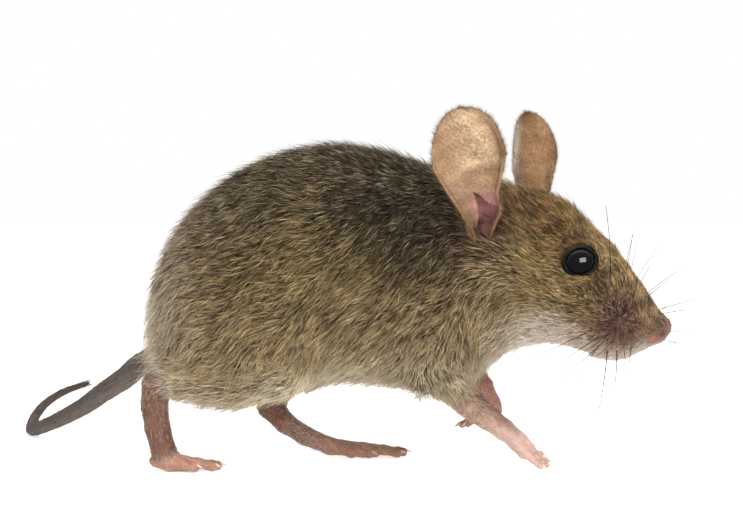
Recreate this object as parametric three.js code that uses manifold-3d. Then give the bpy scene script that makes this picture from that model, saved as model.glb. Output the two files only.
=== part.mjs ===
// A field mouse, life size, walking: millimetres, nose towards +X, its left side towards +Y, floor at z = 0.
// The solids reach out to the tips of the coat. The body is one loft of rings, the legs, toes and tail are
// tapered tubes, the ears are cupped shells, and thin cuts part the whole into the pieces one would name.
// The longest whiskers grow out of the head.
import * as THREE from "three";
import { mergeVertices } from "three/addons/utils/BufferGeometryUtils.js";
import Module from "manifold-3d";

const wasm = await Module();
wasm.setup();

// ---------------------------------------------------------------- driving dimensions
const CUT = 0.3; // width of every cut between two named pieces
const BODY_SIDES = 20; // points round one ring of the body
const RINGS_PER_STATION = 2;
const FULLNESS = 2.25; // 2 is an ellipse, more is a fuller section
const HEAD_YAW = 17; // degrees that the head turns to its right
const EYE_RADII = [2.45, 2.2, 2.1]; // long way, across and short way
const EYE_PITCH = 22; // degrees that the long way dips towards the nose
const EAR_THICKNESS = 0.6;
const EAR_LENGTH = 18.0; // from the bottom of the funnel to the tip
const TAIL_ROOT_RADIUS = 1.75;
const TAIL_TIP_RADIUS = 0.45;
const HIND_TOE_RADIUS = 0.75;
const FORE_TOE_RADIUS = 0.52;
const SMALLEST_RING = 0.02; // a ring at a rounded end is never drawn smaller than this
const FLATNESS = 0.12; // faces nearer to flat than this are made one
const THIN_FLATNESS = 0.02; // the same for the thin walls of the ears

const point = (x, y, z) => new THREE.Vector3(x, y, z);
const UP = point(0, 0, 1);
const LEFT = point(0, 1, 0);
const radians = THREE.MathUtils.degToRad;

// ---------------------------------------------------------------- materials
const skinMaterial = (color, roughness) =>
  new THREE.MeshStandardMaterial({ color, roughness, metalness: 0 });
const COAT = skinMaterial(0x8a7554, 0.85);
const FACE = skinMaterial(0x94794f, 0.85);
const NOSE = skinMaterial(0xb58078, 0.5);
const EAR = skinMaterial(0xb08e6c, 0.6);
const EYE = skinMaterial(0x0c0a09, 0.05);
const BARE = skinMaterial(0xc08a78, 0.6);
const TAIL = skinMaterial(0x8b7b74, 0.7);

// ---------------------------------------------------------------- the body's outline, rump to nose
// top and bottom are [x, z] on the back and belly lines, half is the half width, full makes the belly wider.
const RUMP_END = [-29.9, 18.6];
const NOSE_END = [38.8, 18.2];
const STATIONS = [
  { at: "tail root", top: [-29.0, 25.2], bottom: [-29.1, 12.6], half: 6.2, full: 0.04 },
  { at: "rump", top: [-26.9, 30.6], bottom: [-26.6, 9.6], half: 9.6, full: 0.06 },
  { at: "croup", top: [-23.2, 35.5], bottom: [-22.8, 8.0], half: 12.0, full: 0.1 },
  { at: "haunch", top: [-17.8, 39.8], bottom: [-17.6, 7.7], half: 13.6, full: 0.12 },
  { at: "loin", top: [-11.4, 42.5], bottom: [-11.8, 9.6], half: 13.9, full: 0.14 },
  { at: "mid back", top: [-4.4, 43.5], bottom: [-5.6, 11.0], half: 13.3, full: 0.14 },
  { at: "ribs", top: [2.0, 42.6], bottom: [0.6, 10.9], half: 12.3, full: 0.14 },
  { at: "shoulder", top: [7.2, 40.9], bottom: [6.4, 10.2], half: 11.5, full: 0.14 },
  { at: "withers", top: [11.4, 39.5], bottom: [11.4, 10.0], half: 10.6, full: 0.1 },
  { at: "nape", top: [15.2, 38.2], bottom: [14.8, 12.6], half: 9.7, full: 0.06 },
  { at: "poll", top: [18.8, 37.3], bottom: [17.6, 15.0], half: 9.0, full: 0.04 },
  { at: "crown", top: [22.4, 36.6], bottom: [20.9, 16.2], half: 8.5, full: 0.02 },
  { at: "brow", top: [25.6, 35.1], bottom: [24.2, 16.7], half: 8.0, full: 0 },
  { at: "eyes", top: [28.2, 32.7], bottom: [27.2, 15.9], half: 7.1, full: 0.02 },
  { at: "bridge", top: [30.9, 29.9], bottom: [29.9, 15.1], half: 5.9, full: 0.12 },
  { at: "muzzle", top: [33.3, 27.2], bottom: [32.3, 14.8], half: 5.0, full: 0.16 },
  { at: "whisker pads", top: [35.4, 24.3], bottom: [34.6, 15.3], half: 4.2, full: 0.16 },
  { at: "lips", top: [37.0, 21.6], bottom: [36.6, 16.3], half: 3.0, full: 0.08 },
  { at: "nostrils", top: [38.2, 19.9], bottom: [38.1, 16.9], half: 1.8, full: 0 },
];
const NECK_BENDS_AT = 12; // x where the head's axis leaves the body's
const NECK_BEND_LENGTH = 8;
const BODY_CUTS = [
  { between: "trunk and neck", x: 12.4, z: 24, lean: 8 },
  { between: "neck and head", x: 17.2, z: 26, lean: 10 },
  { between: "head and nose", x: 37.6, z: 18.5, lean: 30 },
];

// How far the head's axis has turned, and its sideways place, at a given x.
const NECK_BLEND = NECK_BEND_LENGTH / 2;
const turned = (x) => THREE.MathUtils.smoothstep(x, NECK_BENDS_AT - NECK_BLEND, NECK_BENDS_AT + NECK_BLEND);
function axisY(x) {
  const past = x - NECK_BENDS_AT;
  if (past <= -NECK_BLEND) return 0;
  const bent = past >= NECK_BLEND ? past : (past + NECK_BLEND) ** 2 / (4 * NECK_BLEND);
  return -Math.tan(radians(HEAD_YAW)) * bent;
}

// ---------------------------------------------------------------- closed meshes from rings
// rings is a list of equal loops of points. An end is closed by a fan about its own centre.
function closedLoft(rings) {
  const sides = rings[0].length;
  const positions = [];
  const index = [];
  rings.forEach((ring) => ring.forEach((p) => positions.push(p.x, p.y, p.z)));
  const corner = (ring, side) => ring * sides + (side % sides);
  for (let r = 0; r + 1 < rings.length; r++)
    for (let s = 0; s < sides; s++) {
      index.push(corner(r, s), corner(r + 1, s), corner(r + 1, s + 1));
      index.push(corner(r, s), corner(r + 1, s + 1), corner(r, s + 1));
    }
  [0, rings.length - 1].forEach((end) => {
    const centre = rings[end].reduce((sum, p) => sum.add(p), point(0, 0, 0)).divideScalar(sides);
    const hub = positions.length / 3;
    positions.push(centre.x, centre.y, centre.z);
    for (let s = 0; s < sides; s++)
      if (end === 0) index.push(hub, corner(end, s), corner(end, s + 1));
      else index.push(hub, corner(end, s + 1), corner(end, s));
  });
  const geometry = new THREE.BufferGeometry();
  geometry.setAttribute("position", new THREE.Float32BufferAttribute(positions, 3));
  geometry.setIndex(index);
  return geometry;
}

// Any closed geometry as a solid that can be cut and joined, facing out.
function solidOf(geometry) {
  const plain = geometry.clone();
  plain.deleteAttribute("normal");
  plain.deleteAttribute("uv");
  const merged = mergeVertices(plain, 1e-4);
  const kept = [];
  const old = merged.index.array;
  for (let i = 0; i < old.length; i += 3) {
    const face = [old[i], old[i + 1], old[i + 2]];
    if (new Set(face).size === 3) kept.push(...face);
  }
  const vertProperties = merged.attributes.position.array;
  const make = (faces) =>
    new wasm.Manifold(new wasm.Mesh({ numProp: 3, vertProperties, triVerts: new Uint32Array(faces) }));
  const made = make(kept);
  if (made.volume() > 0) return made;
  for (let i = 0; i < kept.length; i += 3) [kept[i + 1], kept[i + 2]] = [kept[i + 2], kept[i + 1]];
  return make(kept);
}

const joined = (solids) => solids.reduce((a, b) => a.add(b));
const largest = (solid) => solid.decompose().sort((a, b) => b.volume() - a.volume())[0];
function centreOf(solid) {
  const { min, max } = solid.boundingBox();
  return point((min[0] + max[0]) / 2, (min[1] + max[1]) / 2, (min[2] + max[2]) / 2);
}

// A flat plate, for cutting across a piece: its thin way lies along normal.
function plate(at, normal, width, thickness = CUT) {
  const box = new THREE.BoxGeometry(width, width, thickness);
  box.applyQuaternion(new THREE.Quaternion().setFromUnitVectors(UP, normal.clone().normalize()));
  box.translate(at.x, at.y, at.z);
  return solidOf(box);
}

// ---------------------------------------------------------------- tubes
// stops is a list of { at: [x, y, z], r: radius or [across, thick] }. across lies along the sideways vector.
const ROUND = { sides: 10, rings: 12, sideways: LEFT, grow: 0, roundStart: true, roundEnd: true };
function tube(stops, options = {}) {
  const { sides, rings, sideways, grow, roundStart, roundEnd } = { ...ROUND, ...options };
  const pair = (r) => (Array.isArray(r) ? r : [r, r]);
  const line = new THREE.CatmullRomCurve3(stops.map((s) => point(...s.at)));
  const sizes = new THREE.CatmullRomCurve3(
    stops.map((s) => point(pair(s.r)[0] + grow, pair(s.r)[1] + grow, 0)),
  );
  const length = line.getLength();
  const loops = [];
  for (let k = 0; k <= rings; k++) {
    const even = k / rings;
    const t = roundStart && roundEnd ? (1 - Math.cos(Math.PI * even)) / 2 : even;
    const along = line.getPoint(t);
    const ahead = line.getTangent(t);
    const across = sideways.clone().addScaledVector(ahead, -sideways.dot(ahead)).normalize();
    const thick = ahead.clone().cross(across);
    const size = sizes.getPoint(t);
    const cap = Math.min(size.x, size.y);
    const fromEnds = [roundStart ? t * length : cap, roundEnd ? (1 - t) * length : cap];
    const rounding = (distance) => Math.sqrt(1 - (1 - Math.min(distance / cap, 1)) ** 2);
    const scale = Math.max(rounding(fromEnds[0]) * rounding(fromEnds[1]), SMALLEST_RING);
    const loop = [];
    for (let s = 0; s < sides; s++) {
      const turn = (2 * Math.PI * s) / sides;
      loop.push(
        along
          .clone()
          .addScaledVector(across, Math.cos(turn) * size.x * scale)
          .addScaledVector(thick, Math.sin(turn) * size.y * scale),
      );
    }
    loops.push(loop);
  }
  return solidOf(closedLoft(loops));
}

function ellipsoid([x, y, z], [rx, ry, rz], { pitch = 0, grow = 0, across = 14, down = 9 } = {}) {
  const ball = new THREE.SphereGeometry(1, across, down);
  ball.scale(rx + grow, ry + grow, rz + grow);
  ball.rotateY(radians(pitch));
  ball.translate(x, y, z);
  return solidOf(ball);
}

// ---------------------------------------------------------------- body
// One closed loft from the rump to the nose, grown outwards by a few tenths where it is used to cut.
function bodyLoft(grow = 0) {
  const first = STATIONS[0];
  const last = STATIONS[STATIONS.length - 1];
  const outline = (own, other) => {
    const line = [first[other], RUMP_END, ...STATIONS.map((s) => s[own]), NOSE_END, last[other]];
    return new THREE.CatmullRomCurve3(line.map(([x, z]) => point(x, 0, z)));
  };
  const top = outline("top", "bottom");
  const bottom = outline("bottom", "top");
  const widths = new THREE.CatmullRomCurve3(
    [-first.half, 0, ...STATIONS.map((s) => s.half), 0, -last.half].map((half, i, all) =>
      point(half, i > 1 && i < all.length - 2 ? STATIONS[i - 2].full : 0, 0),
    ),
  );
  const spans = STATIONS.length + 3; // spans of the curves, of which the first and last only steer the ends
  const rings = (STATIONS.length + 1) * RINGS_PER_STATION;
  const loops = [];
  for (let k = 0; k <= rings; k++) {
    const t = (1 + (k / rings) * (spans - 2)) / spans;
    const above = top.getPoint(t);
    const below = bottom.getPoint(t);
    const { x: half, y: full } = widths.getPoint(t);
    const centre = above.clone().add(below).multiplyScalar(0.5);
    const rise = above.clone().sub(below).multiplyScalar(0.5);
    const yaw = radians(HEAD_YAW) * turned(centre.x);
    const side = point(Math.sin(yaw), Math.cos(yaw), 0);
    centre.y = axisY(centre.x);
    const height = Math.max(rise.length(), 0.02);
    rise.multiplyScalar((height + grow) / height);
    const loop = [];
    for (let s = 0; s < BODY_SIDES; s++) {
      const turn = (2 * Math.PI * s) / BODY_SIDES;
      const power = (v) => Math.sign(v) * Math.abs(v) ** (2 / FULLNESS);
      const across = power(Math.sin(turn)) * (1 - full * Math.cos(turn)) * (Math.max(half, 0.02) + grow);
      loop.push(centre.clone().addScaledVector(rise, power(Math.cos(turn))).addScaledVector(side, across));
    }
    loops.push(loop);
  }
  return solidOf(closedLoft(loops));
}

// ---------------------------------------------------------------- feet
// Toes fan out from a ball. medial is +1 where the big toe lies towards +Y and -1 where it lies towards -Y.
// Each toe is { across, back, length, splay }: its root's place across and behind the ball, and its angle.
const HIND_TOES = [
  { across: 1.75, back: 2.8, length: 2.4, splay: 24 },
  { across: 1.45, back: 0.4, length: 3.9, splay: 11 },
  { across: 0.5, back: 0, length: 4.4, splay: 3 },
  { across: -0.55, back: 0.2, length: 4.2, splay: -6 },
  { across: -1.55, back: 1.5, length: 3.4, splay: -16 },
];
const FORE_TOES = [
  { across: 1.2, back: 0.1, length: 2.7, splay: 20 },
  { across: 0.42, back: 0, length: 3.3, splay: 6 },
  { across: -0.42, back: 0, length: 3.3, splay: -6 },
  { across: -1.2, back: 0.1, length: 2.7, splay: -22 },
];
const CLAW_LENGTH = 1.3;
const CLAW_POINT = 0.12; // radius of its point
const TOE_STANDS = 0.8; // least height of a toe's middle, in radii: it stands on the flat below that

const acrossFoot = ({ ahead, drop }) => point(...ahead).cross(point(...drop)).normalize();

function toes({ ball, ahead, drop, medial, kinds, radius }) {
  const forward = point(...ahead).normalize();
  const down = point(...drop).normalize();
  const side = acrossFoot({ ahead, drop });
  if (side.y * medial < 0) side.negate();
  return kinds.map(({ across, back, length, splay }) => {
    const angle = radians(splay);
    const way = forward.clone().multiplyScalar(Math.cos(angle)).addScaledVector(side, Math.sin(angle));
    const root = point(...ball).addScaledVector(side, across).addScaledVector(forward, -back);
    const stop = (along, lift, r) => {
      const at = root.clone().addScaledVector(way, along * length).addScaledVector(down, -lift);
      return { at: [at.x, at.y, Math.max(at.z, r * TOE_STANDS)], r };
    };
    const stops = [
      stop(-0.25, 0.1, radius),
      stop(0.25, 0.35, radius),
      stop(0.62, 0.15, radius * 0.8),
      stop(0.9, 0, radius * 0.95),
      stop(1.04, 0.1, radius * 0.6),
      stop(1 + CLAW_LENGTH / length, -0.02, CLAW_POINT),
    ];
    const sideways = way.clone().cross(down);
    return tube(stops, { sides: 6, rings: stops.length - 1, sideways, roundStart: false, roundEnd: false });
  });
}

// ---------------------------------------------------------------- legs
// Each leg is a list of stops down to the ball of the foot. Radii are [across, thick] to the hairs' tips.
const HIND = { kinds: HIND_TOES, radius: HIND_TOE_RADIUS };
const FORE = { kinds: FORE_TOES, radius: FORE_TOE_RADIUS };
const LEGS = {
  hind_right: {
    thigh: { at: [-15.4, -9.4, 19.6], size: [9.6, 5.3, 9.8], pitch: 20 },
    upper: [
      { at: [-12.5, -10.2, 13.0], r: [3.6, 4.2] },
      { at: [-18.5, -10.2, 11.8], r: [3.0, 3.6] },
      { at: [-24.0, -9.5, 12.0], r: [2.3, 2.9] },
      { at: [-28.2, -9.1, 12.0], r: [1.7, 1.9] },
    ],
    foot: [
      { at: [-27.7, -9.1, 13.2], r: [1.6, 1.5] },
      { at: [-28.6, -9.1, 10.8], r: [1.75, 1.85] },
      { at: [-28.3, -9.1, 7.2], r: [1.75, 1.75] },
      { at: [-27.5, -9.1, 3.8], r: [2.0, 1.75] },
      { at: [-26.5, -9.1, 1.5], r: [2.3, 1.65] },
      { at: [-23.4, -9.1, 0.9], r: [2.35, 1.15] },
    ],
    toes: { ball: [-24.3, -9.1, 0.75], ahead: [1, -0.1, 0], drop: [0, 0, -1], medial: 1, ...HIND },
  },
  hind_left: {
    thigh: { at: [-12.6, 9.4, 18.8], size: [9.6, 5.3, 9.4], pitch: -10 },
    upper: [
      { at: [-4.6, 9.8, 14.6], r: [3.4, 4.0] },
      { at: [-8.6, 9.6, 12.6], r: [2.9, 3.4] },
      { at: [-12.0, 9.0, 10.2], r: [2.1, 2.3] },
      { at: [-14.2, 8.7, 7.0], r: [1.7, 1.7] },
    ],
    foot: [
      { at: [-13.2, 8.7, 8.6], r: [1.5, 1.4] },
      { at: [-14.0, 8.7, 6.5], r: [1.6, 1.7] },
      { at: [-11.7, 8.7, 4.5], r: [1.65, 1.5] },
      { at: [-9.0, 8.7, 2.8], r: [1.8, 1.45] },
      { at: [-5.6, 8.7, 1.3], r: [2.1, 1.4] },
      { at: [-0.9, 8.7, 1.0], r: [2.35, 1.25] },
      { at: [0.9, 8.7, 1.0], r: [2.25, 1.1] },
    ],
    toes: { ball: [0.1, 8.7, 0.75], ahead: [1, 0.1, 0], drop: [0, 0, -1], medial: -1, ...HIND },
  },
  fore_right: {
    thigh: { at: [8.4, -7.2, 17.4], size: [5.2, 4.3, 7.6], pitch: 16 },
    upper: [
      { at: [8.6, -8.2, 14.4], r: [3.0, 3.6] },
      { at: [10.6, -8.2, 11.0], r: [2.5, 3.0] },
      { at: [12.9, -7.5, 8.4], r: [1.9, 2.2] },
      { at: [15.2, -6.4, 6.7], r: [1.75, 2.0] },
      { at: [17.2, -5.6, 5.3], r: [1.6, 1.8] },
    ],
    foot: [
      { at: [15.4, -6.3, 6.5], r: [1.5, 1.65] },
      { at: [17.4, -5.5, 5.05], r: [1.65, 1.7] },
      { at: [19.4, -4.9, 3.45], r: [1.8, 1.5] },
      { at: [21.3, -4.4, 1.95], r: [1.6, 1.05] },
    ],
    toes: {
      ball: [20.3, -4.6, 1.85],
      ahead: [0.88, 0.1, -0.42],
      drop: [-0.38, 0.3, -0.87],
      medial: 1,
      ...FORE,
    },
  },
  fore_left: {
    thigh: { at: [9.2, 7.0, 15.6], size: [5.4, 4.2, 7.2], pitch: 10 },
    upper: [
      { at: [10.6, 7.2, 14.6], r: [2.9, 3.4] },
      { at: [12.8, 6.8, 12.6], r: [2.2, 2.6] },
      { at: [15.0, 6.4, 10.0], r: [1.5, 1.8] },
      { at: [16.5, 6.2, 7.6], r: [1.25, 1.4] },
    ],
    foot: [
      { at: [16.2, 6.2, 8.6], r: [1.2, 1.3] },
      { at: [16.7, 6.2, 7.2], r: [1.3, 1.35] },
      { at: [15.8, 6.2, 6.0], r: [1.6, 1.15] },
      { at: [14.4, 6.2, 5.5], r: [1.5, 0.9] },
    ],
    toes: { ball: [15.2, 6.2, 5.6], ahead: [-1, 0, -0.3], drop: [0.3, 0, -1], medial: -1, ...FORE },
  },
};

const upperLeg = (leg, grow = 0) =>
  joined([
    ellipsoid(leg.thigh.at, leg.thigh.size, { pitch: leg.thigh.pitch, grow }),
    tube(leg.upper, { sides: 10, rings: 6, grow }),
  ]);
const foot = (leg, grow = 0) =>
  tube(leg.foot, { sides: 10, rings: 10, grow, sideways: acrossFoot(leg.toes) });
const floor = solidOf(new THREE.BoxGeometry(400, 400, 20).translate(0, 0, -10));

const wholeFoot = (leg) => joined([foot(leg), ...toes(leg.toes)]).subtract(floor);

// ---------------------------------------------------------------- tail
// It leaves the rump, swings out to the left, meets the floor and curls up at its tip.
const TAIL_LINE = [
  [-24.0, -0.4, 16.6],
  [-30.4, 1.0, 13.5],
  [-33.4, 5.0, 11.1],
  [-36.7, 11.0, 8.8],
  [-40.2, 18.0, 6.2],
  [-43.8, 25.0, 4.0],
  [-47.2, 31.5, 2.2],
  [-49.4, 37.0, 1.1],
  [-50.5, 42.5, 0.75],
  [-50.8, 48.0, 1.7],
  [-49.8, 53.5, 3.4],
  [-47.4, 59.0, 4.9],
  [-44.0, 64.0, 5.9],
];
const TAIL_RINGS = 40;
const TAIL_PIECES = ["tail_root", "tail_middle", "tail_end", "tail_tip"];

// One length of the tail, between two shares of its whole length.
function tailLength(from, to, grow = 0) {
  const line = new THREE.CatmullRomCurve3(TAIL_LINE.map((p) => point(...p)));
  const rings = TAIL_RINGS / TAIL_PIECES.length;
  const stops = [];
  for (let k = 0; k <= rings; k++) {
    const share = THREE.MathUtils.lerp(from, to, k / rings);
    const r = THREE.MathUtils.lerp(TAIL_ROOT_RADIUS, TAIL_TIP_RADIUS, share);
    stops.push({ at: line.getPointAt(share).toArray(), r });
  }
  const cut = tube(stops, { sides: 8, rings, sideways: UP, grow, roundStart: false, roundEnd: false });
  if (to < 1) return cut;
  return cut.add(ellipsoid(stops[rings].at, Array(3).fill(TAIL_TIP_RADIUS), { across: 8, down: 6 }));
}

function tailPieces() {
  const length = new THREE.CatmullRomCurve3(TAIL_LINE.map((p) => point(...p))).getLength();
  return TAIL_PIECES.map((name, i) => {
    const from = i / TAIL_PIECES.length + (i ? CUT / length : 0);
    return [name, tailLength(from, (i + 1) / TAIL_PIECES.length).subtract(floor)];
  });
}

// ---------------------------------------------------------------- ears
// root is the bottom of the funnel, tip the top of the rim, and facing the way the cup opens.
const EARS = {
  ear_right: { root: [14.4, -8.0, 30.2], tip: [11.1, -12.4, 48.6], facing: [0.16, -0.97, 0.1] },
  ear_left: { root: [19.5, 3.6, 29.9], tip: [20.8, 8.4, 46.3], facing: [0.86, 0.5, 0] },
};
// Half the chord of the cup and the half angle that its wall bends through, up the ear.
const EAR_SECTIONS = [
  { up: 0, chord: 2.0, bend: 150 },
  { up: 0.15, chord: 2.5, bend: 125 },
  { up: 0.3, chord: 3.2, bend: 92 },
  { up: 0.45, chord: 4.3, bend: 64 },
  { up: 0.62, chord: 5.4, bend: 42 },
];
const EAR_ROUNDS_FROM = 0.62; // above this the rim is half an ellipse
const EAR_ROWS = 10;
const EAR_COLUMNS = 8;

function earSection(up) {
  const last = EAR_SECTIONS[EAR_SECTIONS.length - 1];
  if (up >= EAR_ROUNDS_FROM) {
    const rise = (up - EAR_ROUNDS_FROM) / (1 - EAR_ROUNDS_FROM);
    const radius = last.chord / Math.sin(radians(last.bend));
    return { chord: last.chord * Math.sqrt(Math.max(1 - rise * rise, 0)), bend: radians(last.bend), radius };
  }
  const i = EAR_SECTIONS.findIndex((s, k) => up < EAR_SECTIONS[k + 1].up);
  const [a, b] = [EAR_SECTIONS[i], EAR_SECTIONS[i + 1]];
  const t = (up - a.up) / (b.up - a.up);
  const chord = THREE.MathUtils.lerp(a.chord, b.chord, t);
  const bend = radians(THREE.MathUtils.lerp(a.bend, b.bend, t));
  return { chord, bend, radius: chord / Math.sin(Math.min(bend, Math.PI / 2)) };
}

function earShell({ root, tip, facing }) {
  const base = point(...root);
  const axis = point(...tip).sub(base).normalize();
  const open = point(...facing);
  open.addScaledVector(axis, -open.dot(axis)).normalize();
  const side = axis.clone().cross(open);
  const wall = (up, across, inwards) => {
    const { chord, bend, radius } = earSection(up);
    const reach = up >= EAR_ROUNDS_FROM ? Math.asin(Math.min(chord / radius, 1)) : bend;
    const angle = reach * across;
    return base
      .clone()
      .addScaledVector(axis, up * EAR_LENGTH)
      .addScaledVector(open, radius - (radius - inwards) * Math.cos(angle))
      .addScaledVector(side, (radius - inwards) * Math.sin(angle));
  };
  const loops = [];
  for (let row = 0; row <= EAR_ROWS; row++) {
    const up = Math.sin((Math.PI / 2) * (row / EAR_ROWS)) * 0.995;
    const loop = [];
    for (let c = 0; c <= EAR_COLUMNS; c++) loop.push(wall(up, -1 + (2 * c) / EAR_COLUMNS, 0));
    for (let c = EAR_COLUMNS; c >= 0; c--) loop.push(wall(up, -1 + (2 * c) / EAR_COLUMNS, EAR_THICKNESS));
    loops.push(loop);
  }
  return solidOf(closedLoft(loops));
}

// ---------------------------------------------------------------- eyes
const EYES = {
  eye_right: [27.0, -10.0, 27.2],
  eye_left: [30.0, -0.1, 27.2],
};

const EYE_SHAPE = { pitch: EYE_PITCH, across: 12, down: 8 };

// ---------------------------------------------------------------- whiskers
// The longest of each side, in a fan from the uppermost to the lowest. from and to are their angles up from
// straight ahead, seen from the right, and crowd tells how far the rest draw to the lowest; aside is how far
// they lean outwards and bend how far they curve.
const WHISKER_FANS = [
  { side: -1, from: 88, to: 264, crowd: 0.6, aside: 0.72, bend: [-0.1, 0, 0], length: 16.5 },
  { side: 1, from: 75, to: 5, crowd: 1, aside: 0.55, bend: [0, 0, -0.1], length: 14 },
];
const WHISKERS_A_SIDE = 5;
const WHISKER_PAD = { x: 31.6, aside: 2.4, z: 21.4, step: 0.95 }; // the first root, and the fall to the next
const WHISKER_RADII = [0.32, 0.27]; // at the root and at the tip

function whiskers() {
  const { x, aside: wide, z, step } = WHISKER_PAD;
  return WHISKER_FANS.flatMap(({ side, from, to, crowd, aside, bend, length }) =>
    Array.from({ length: WHISKERS_A_SIDE }, (_, i) => {
      const turn = radians(THREE.MathUtils.lerp(from, to, (i / (WHISKERS_A_SIDE - 1)) ** crowd));
      const way = point(Math.cos(turn), side * aside, Math.sin(turn)).normalize();
      const root = point(x, axisY(x) + side * wide, z - step * i);
      const stops = [0, 0.5, 1].map((t) => {
        const at = root.clone().addScaledVector(way, length * t);
        at.addScaledVector(point(...bend), length * t * t);
        return { at: at.toArray(), r: THREE.MathUtils.lerp(...WHISKER_RADII, t) };
      });
      return tube(stops, { sides: 4, rings: 2, roundStart: false, roundEnd: false });
    }),
  );
}

// ---------------------------------------------------------------- putting it together
const mouse = new THREE.Group();
function place(name, solid, material, flatness = FLATNESS) {
  const { numProp, vertProperties, triVerts, numVert } = solid.simplify(flatness).getMesh();
  const positions = new Float32Array(numVert * 3);
  for (let i = 0; i < numVert; i++)
    positions.set(vertProperties.subarray(i * numProp, i * numProp + 3), i * 3);
  const geometry = new THREE.BufferGeometry();
  geometry.setAttribute("position", new THREE.BufferAttribute(positions, 3));
  geometry.setIndex(new THREE.BufferAttribute(triVerts, 1));
  geometry.computeVertexNormals();
  const mesh = new THREE.Mesh(geometry, material);
  mesh.name = name;
  mouse.add(mesh);
}

const BODY_PIECES = [
  { name: "trunk", material: COAT },
  { name: "neck", material: COAT },
  { name: "head", material: FACE },
  { name: "nose", material: NOSE },
];
const hollows = []; // grown copies of all that is let into the body
for (const [name, leg] of Object.entries(LEGS)) {
  place(`${name}_leg`, largest(upperLeg(leg).subtract(foot(leg, CUT))), COAT);
  place(`${name}_foot`, wholeFoot(leg), BARE);
  hollows.push(upperLeg(leg, CUT), foot(leg, CUT));
}
for (const [name, solid] of tailPieces()) place(name, solid, TAIL);
hollows.push(tailLength(0, 1 / TAIL_PIECES.length, CUT));
for (const [name, at] of Object.entries(EYES)) {
  place(name, ellipsoid(at, EYE_RADII, EYE_SHAPE), EYE);
  hollows.push(ellipsoid(at, EYE_RADII, { ...EYE_SHAPE, grow: CUT }));
}
const bodyRoom = bodyLoft(CUT);
for (const [name, ear] of Object.entries(EARS))
  place(name, largest(earShell(ear).subtract(bodyRoom)), EAR, THIN_FLATNESS);

const cuts = BODY_CUTS.map(({ x, z, lean }) => {
  const yaw = radians(HEAD_YAW) * turned(x);
  return plate(point(x, axisY(x), z), point(Math.cos(yaw), -Math.sin(yaw), -Math.sin(radians(lean))), 60);
});
const pieces = bodyLoft().subtract(joined(hollows)).subtract(joined(cuts)).decompose();
pieces.sort((a, b) => b.volume() - a.volume());
pieces
  .slice(0, BODY_CUTS.length + 1)
  .sort((a, b) => centreOf(a).x - centreOf(b).x)
  .forEach((solid, i) => {
    if (BODY_PIECES[i].name !== "head") return place(BODY_PIECES[i].name, solid, BODY_PIECES[i].material);
    return place("head", joined([solid.simplify(FLATNESS), ...whiskers()]), FACE, THIN_FLATNESS);
  });

// The frame's origin is the middle of the overall box, on the floor.
const overall = new THREE.Box3().setFromObject(mouse);
const middle = overall.getCenter(point(0, 0, 0));
mouse.position.set(-middle.x, -middle.y, -overall.min.z);

const model = new THREE.Group();
model.add(mouse);
export default model;
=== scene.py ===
"""Field mouse, life size: one skin, a coat of solid tufts, black eyes, claws and whiskers."""

import logging
import math
from collections.abc import Callable
from dataclasses import dataclass
from enum import Enum

import bmesh
import bpy
import numpy as np
import openvdb
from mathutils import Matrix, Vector, kdtree

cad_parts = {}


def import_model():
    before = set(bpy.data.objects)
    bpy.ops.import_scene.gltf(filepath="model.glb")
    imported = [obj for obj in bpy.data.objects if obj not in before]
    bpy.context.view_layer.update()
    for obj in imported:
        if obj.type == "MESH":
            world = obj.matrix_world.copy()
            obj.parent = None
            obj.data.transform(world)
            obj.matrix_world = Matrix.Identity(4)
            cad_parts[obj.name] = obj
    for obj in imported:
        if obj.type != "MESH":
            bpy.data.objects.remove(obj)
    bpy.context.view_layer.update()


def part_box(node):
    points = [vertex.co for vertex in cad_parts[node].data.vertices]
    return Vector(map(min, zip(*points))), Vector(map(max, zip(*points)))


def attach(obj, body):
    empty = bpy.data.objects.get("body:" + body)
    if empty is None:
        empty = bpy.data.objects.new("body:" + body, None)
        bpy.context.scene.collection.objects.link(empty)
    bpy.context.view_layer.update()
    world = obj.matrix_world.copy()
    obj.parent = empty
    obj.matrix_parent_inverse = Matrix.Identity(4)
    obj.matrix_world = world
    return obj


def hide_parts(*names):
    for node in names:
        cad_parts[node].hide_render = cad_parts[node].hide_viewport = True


LOG = logging.getLogger("field_mouse")
MM = 0.001
VOXEL = 0.25  # mm, the grain that the skin is modelled at
SEED = 11
LOOK_DEPTH = 9.0  # mm, how deep an eye's or an ear's outline counts
EYE_BLACK = 0.004  # linear
FLOOR_GAP = 0.005  # mm, how far the skin stays above the floor
TAIL_BASE = (-27.0, 0.0, 9.0)  # the hollow under the tail
FLESH = (
    "trunk neck head nose ear_left ear_right tail_root tail_middle tail_end tail_tip "
    "hind_left_leg hind_left_foot hind_right_leg hind_right_foot "
    "fore_left_leg fore_left_foot fore_right_leg fore_right_foot"
).split()
SIDES = (-1, 1)  # right and left
Form = Callable[[np.ndarray], np.ndarray]  # from points to one value each, such as a distance in mm
Mesh = tuple[np.ndarray, np.ndarray]  # corners in mm, and faces as corner numbers


# ------------------------------------------------------------------ small maths
def linear(code: str) -> np.ndarray:
    """Turns an sRGB hex colour, such as "8a7554", into linear red, green and blue."""
    c = np.array([int(code[i : i + 2], 16) / 255 for i in (0, 2, 4)])
    return np.where(c <= 0.04045, c / 12.92, ((c + 0.055) / 1.055) ** 2.4)


def smooth(low: float, high: float, x: np.ndarray) -> np.ndarray:
    """Eases from 0 where x is low to 1 where it is high."""
    t = np.clip((x - low) / (high - low), 0, 1)
    return t * t * (3 - 2 * t)


def unit(v: np.ndarray) -> np.ndarray:
    """Scales the vectors in the last axis to length 1."""
    return v / (np.linalg.norm(v, axis=-1, keepdims=True) + 1e-9)


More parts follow.
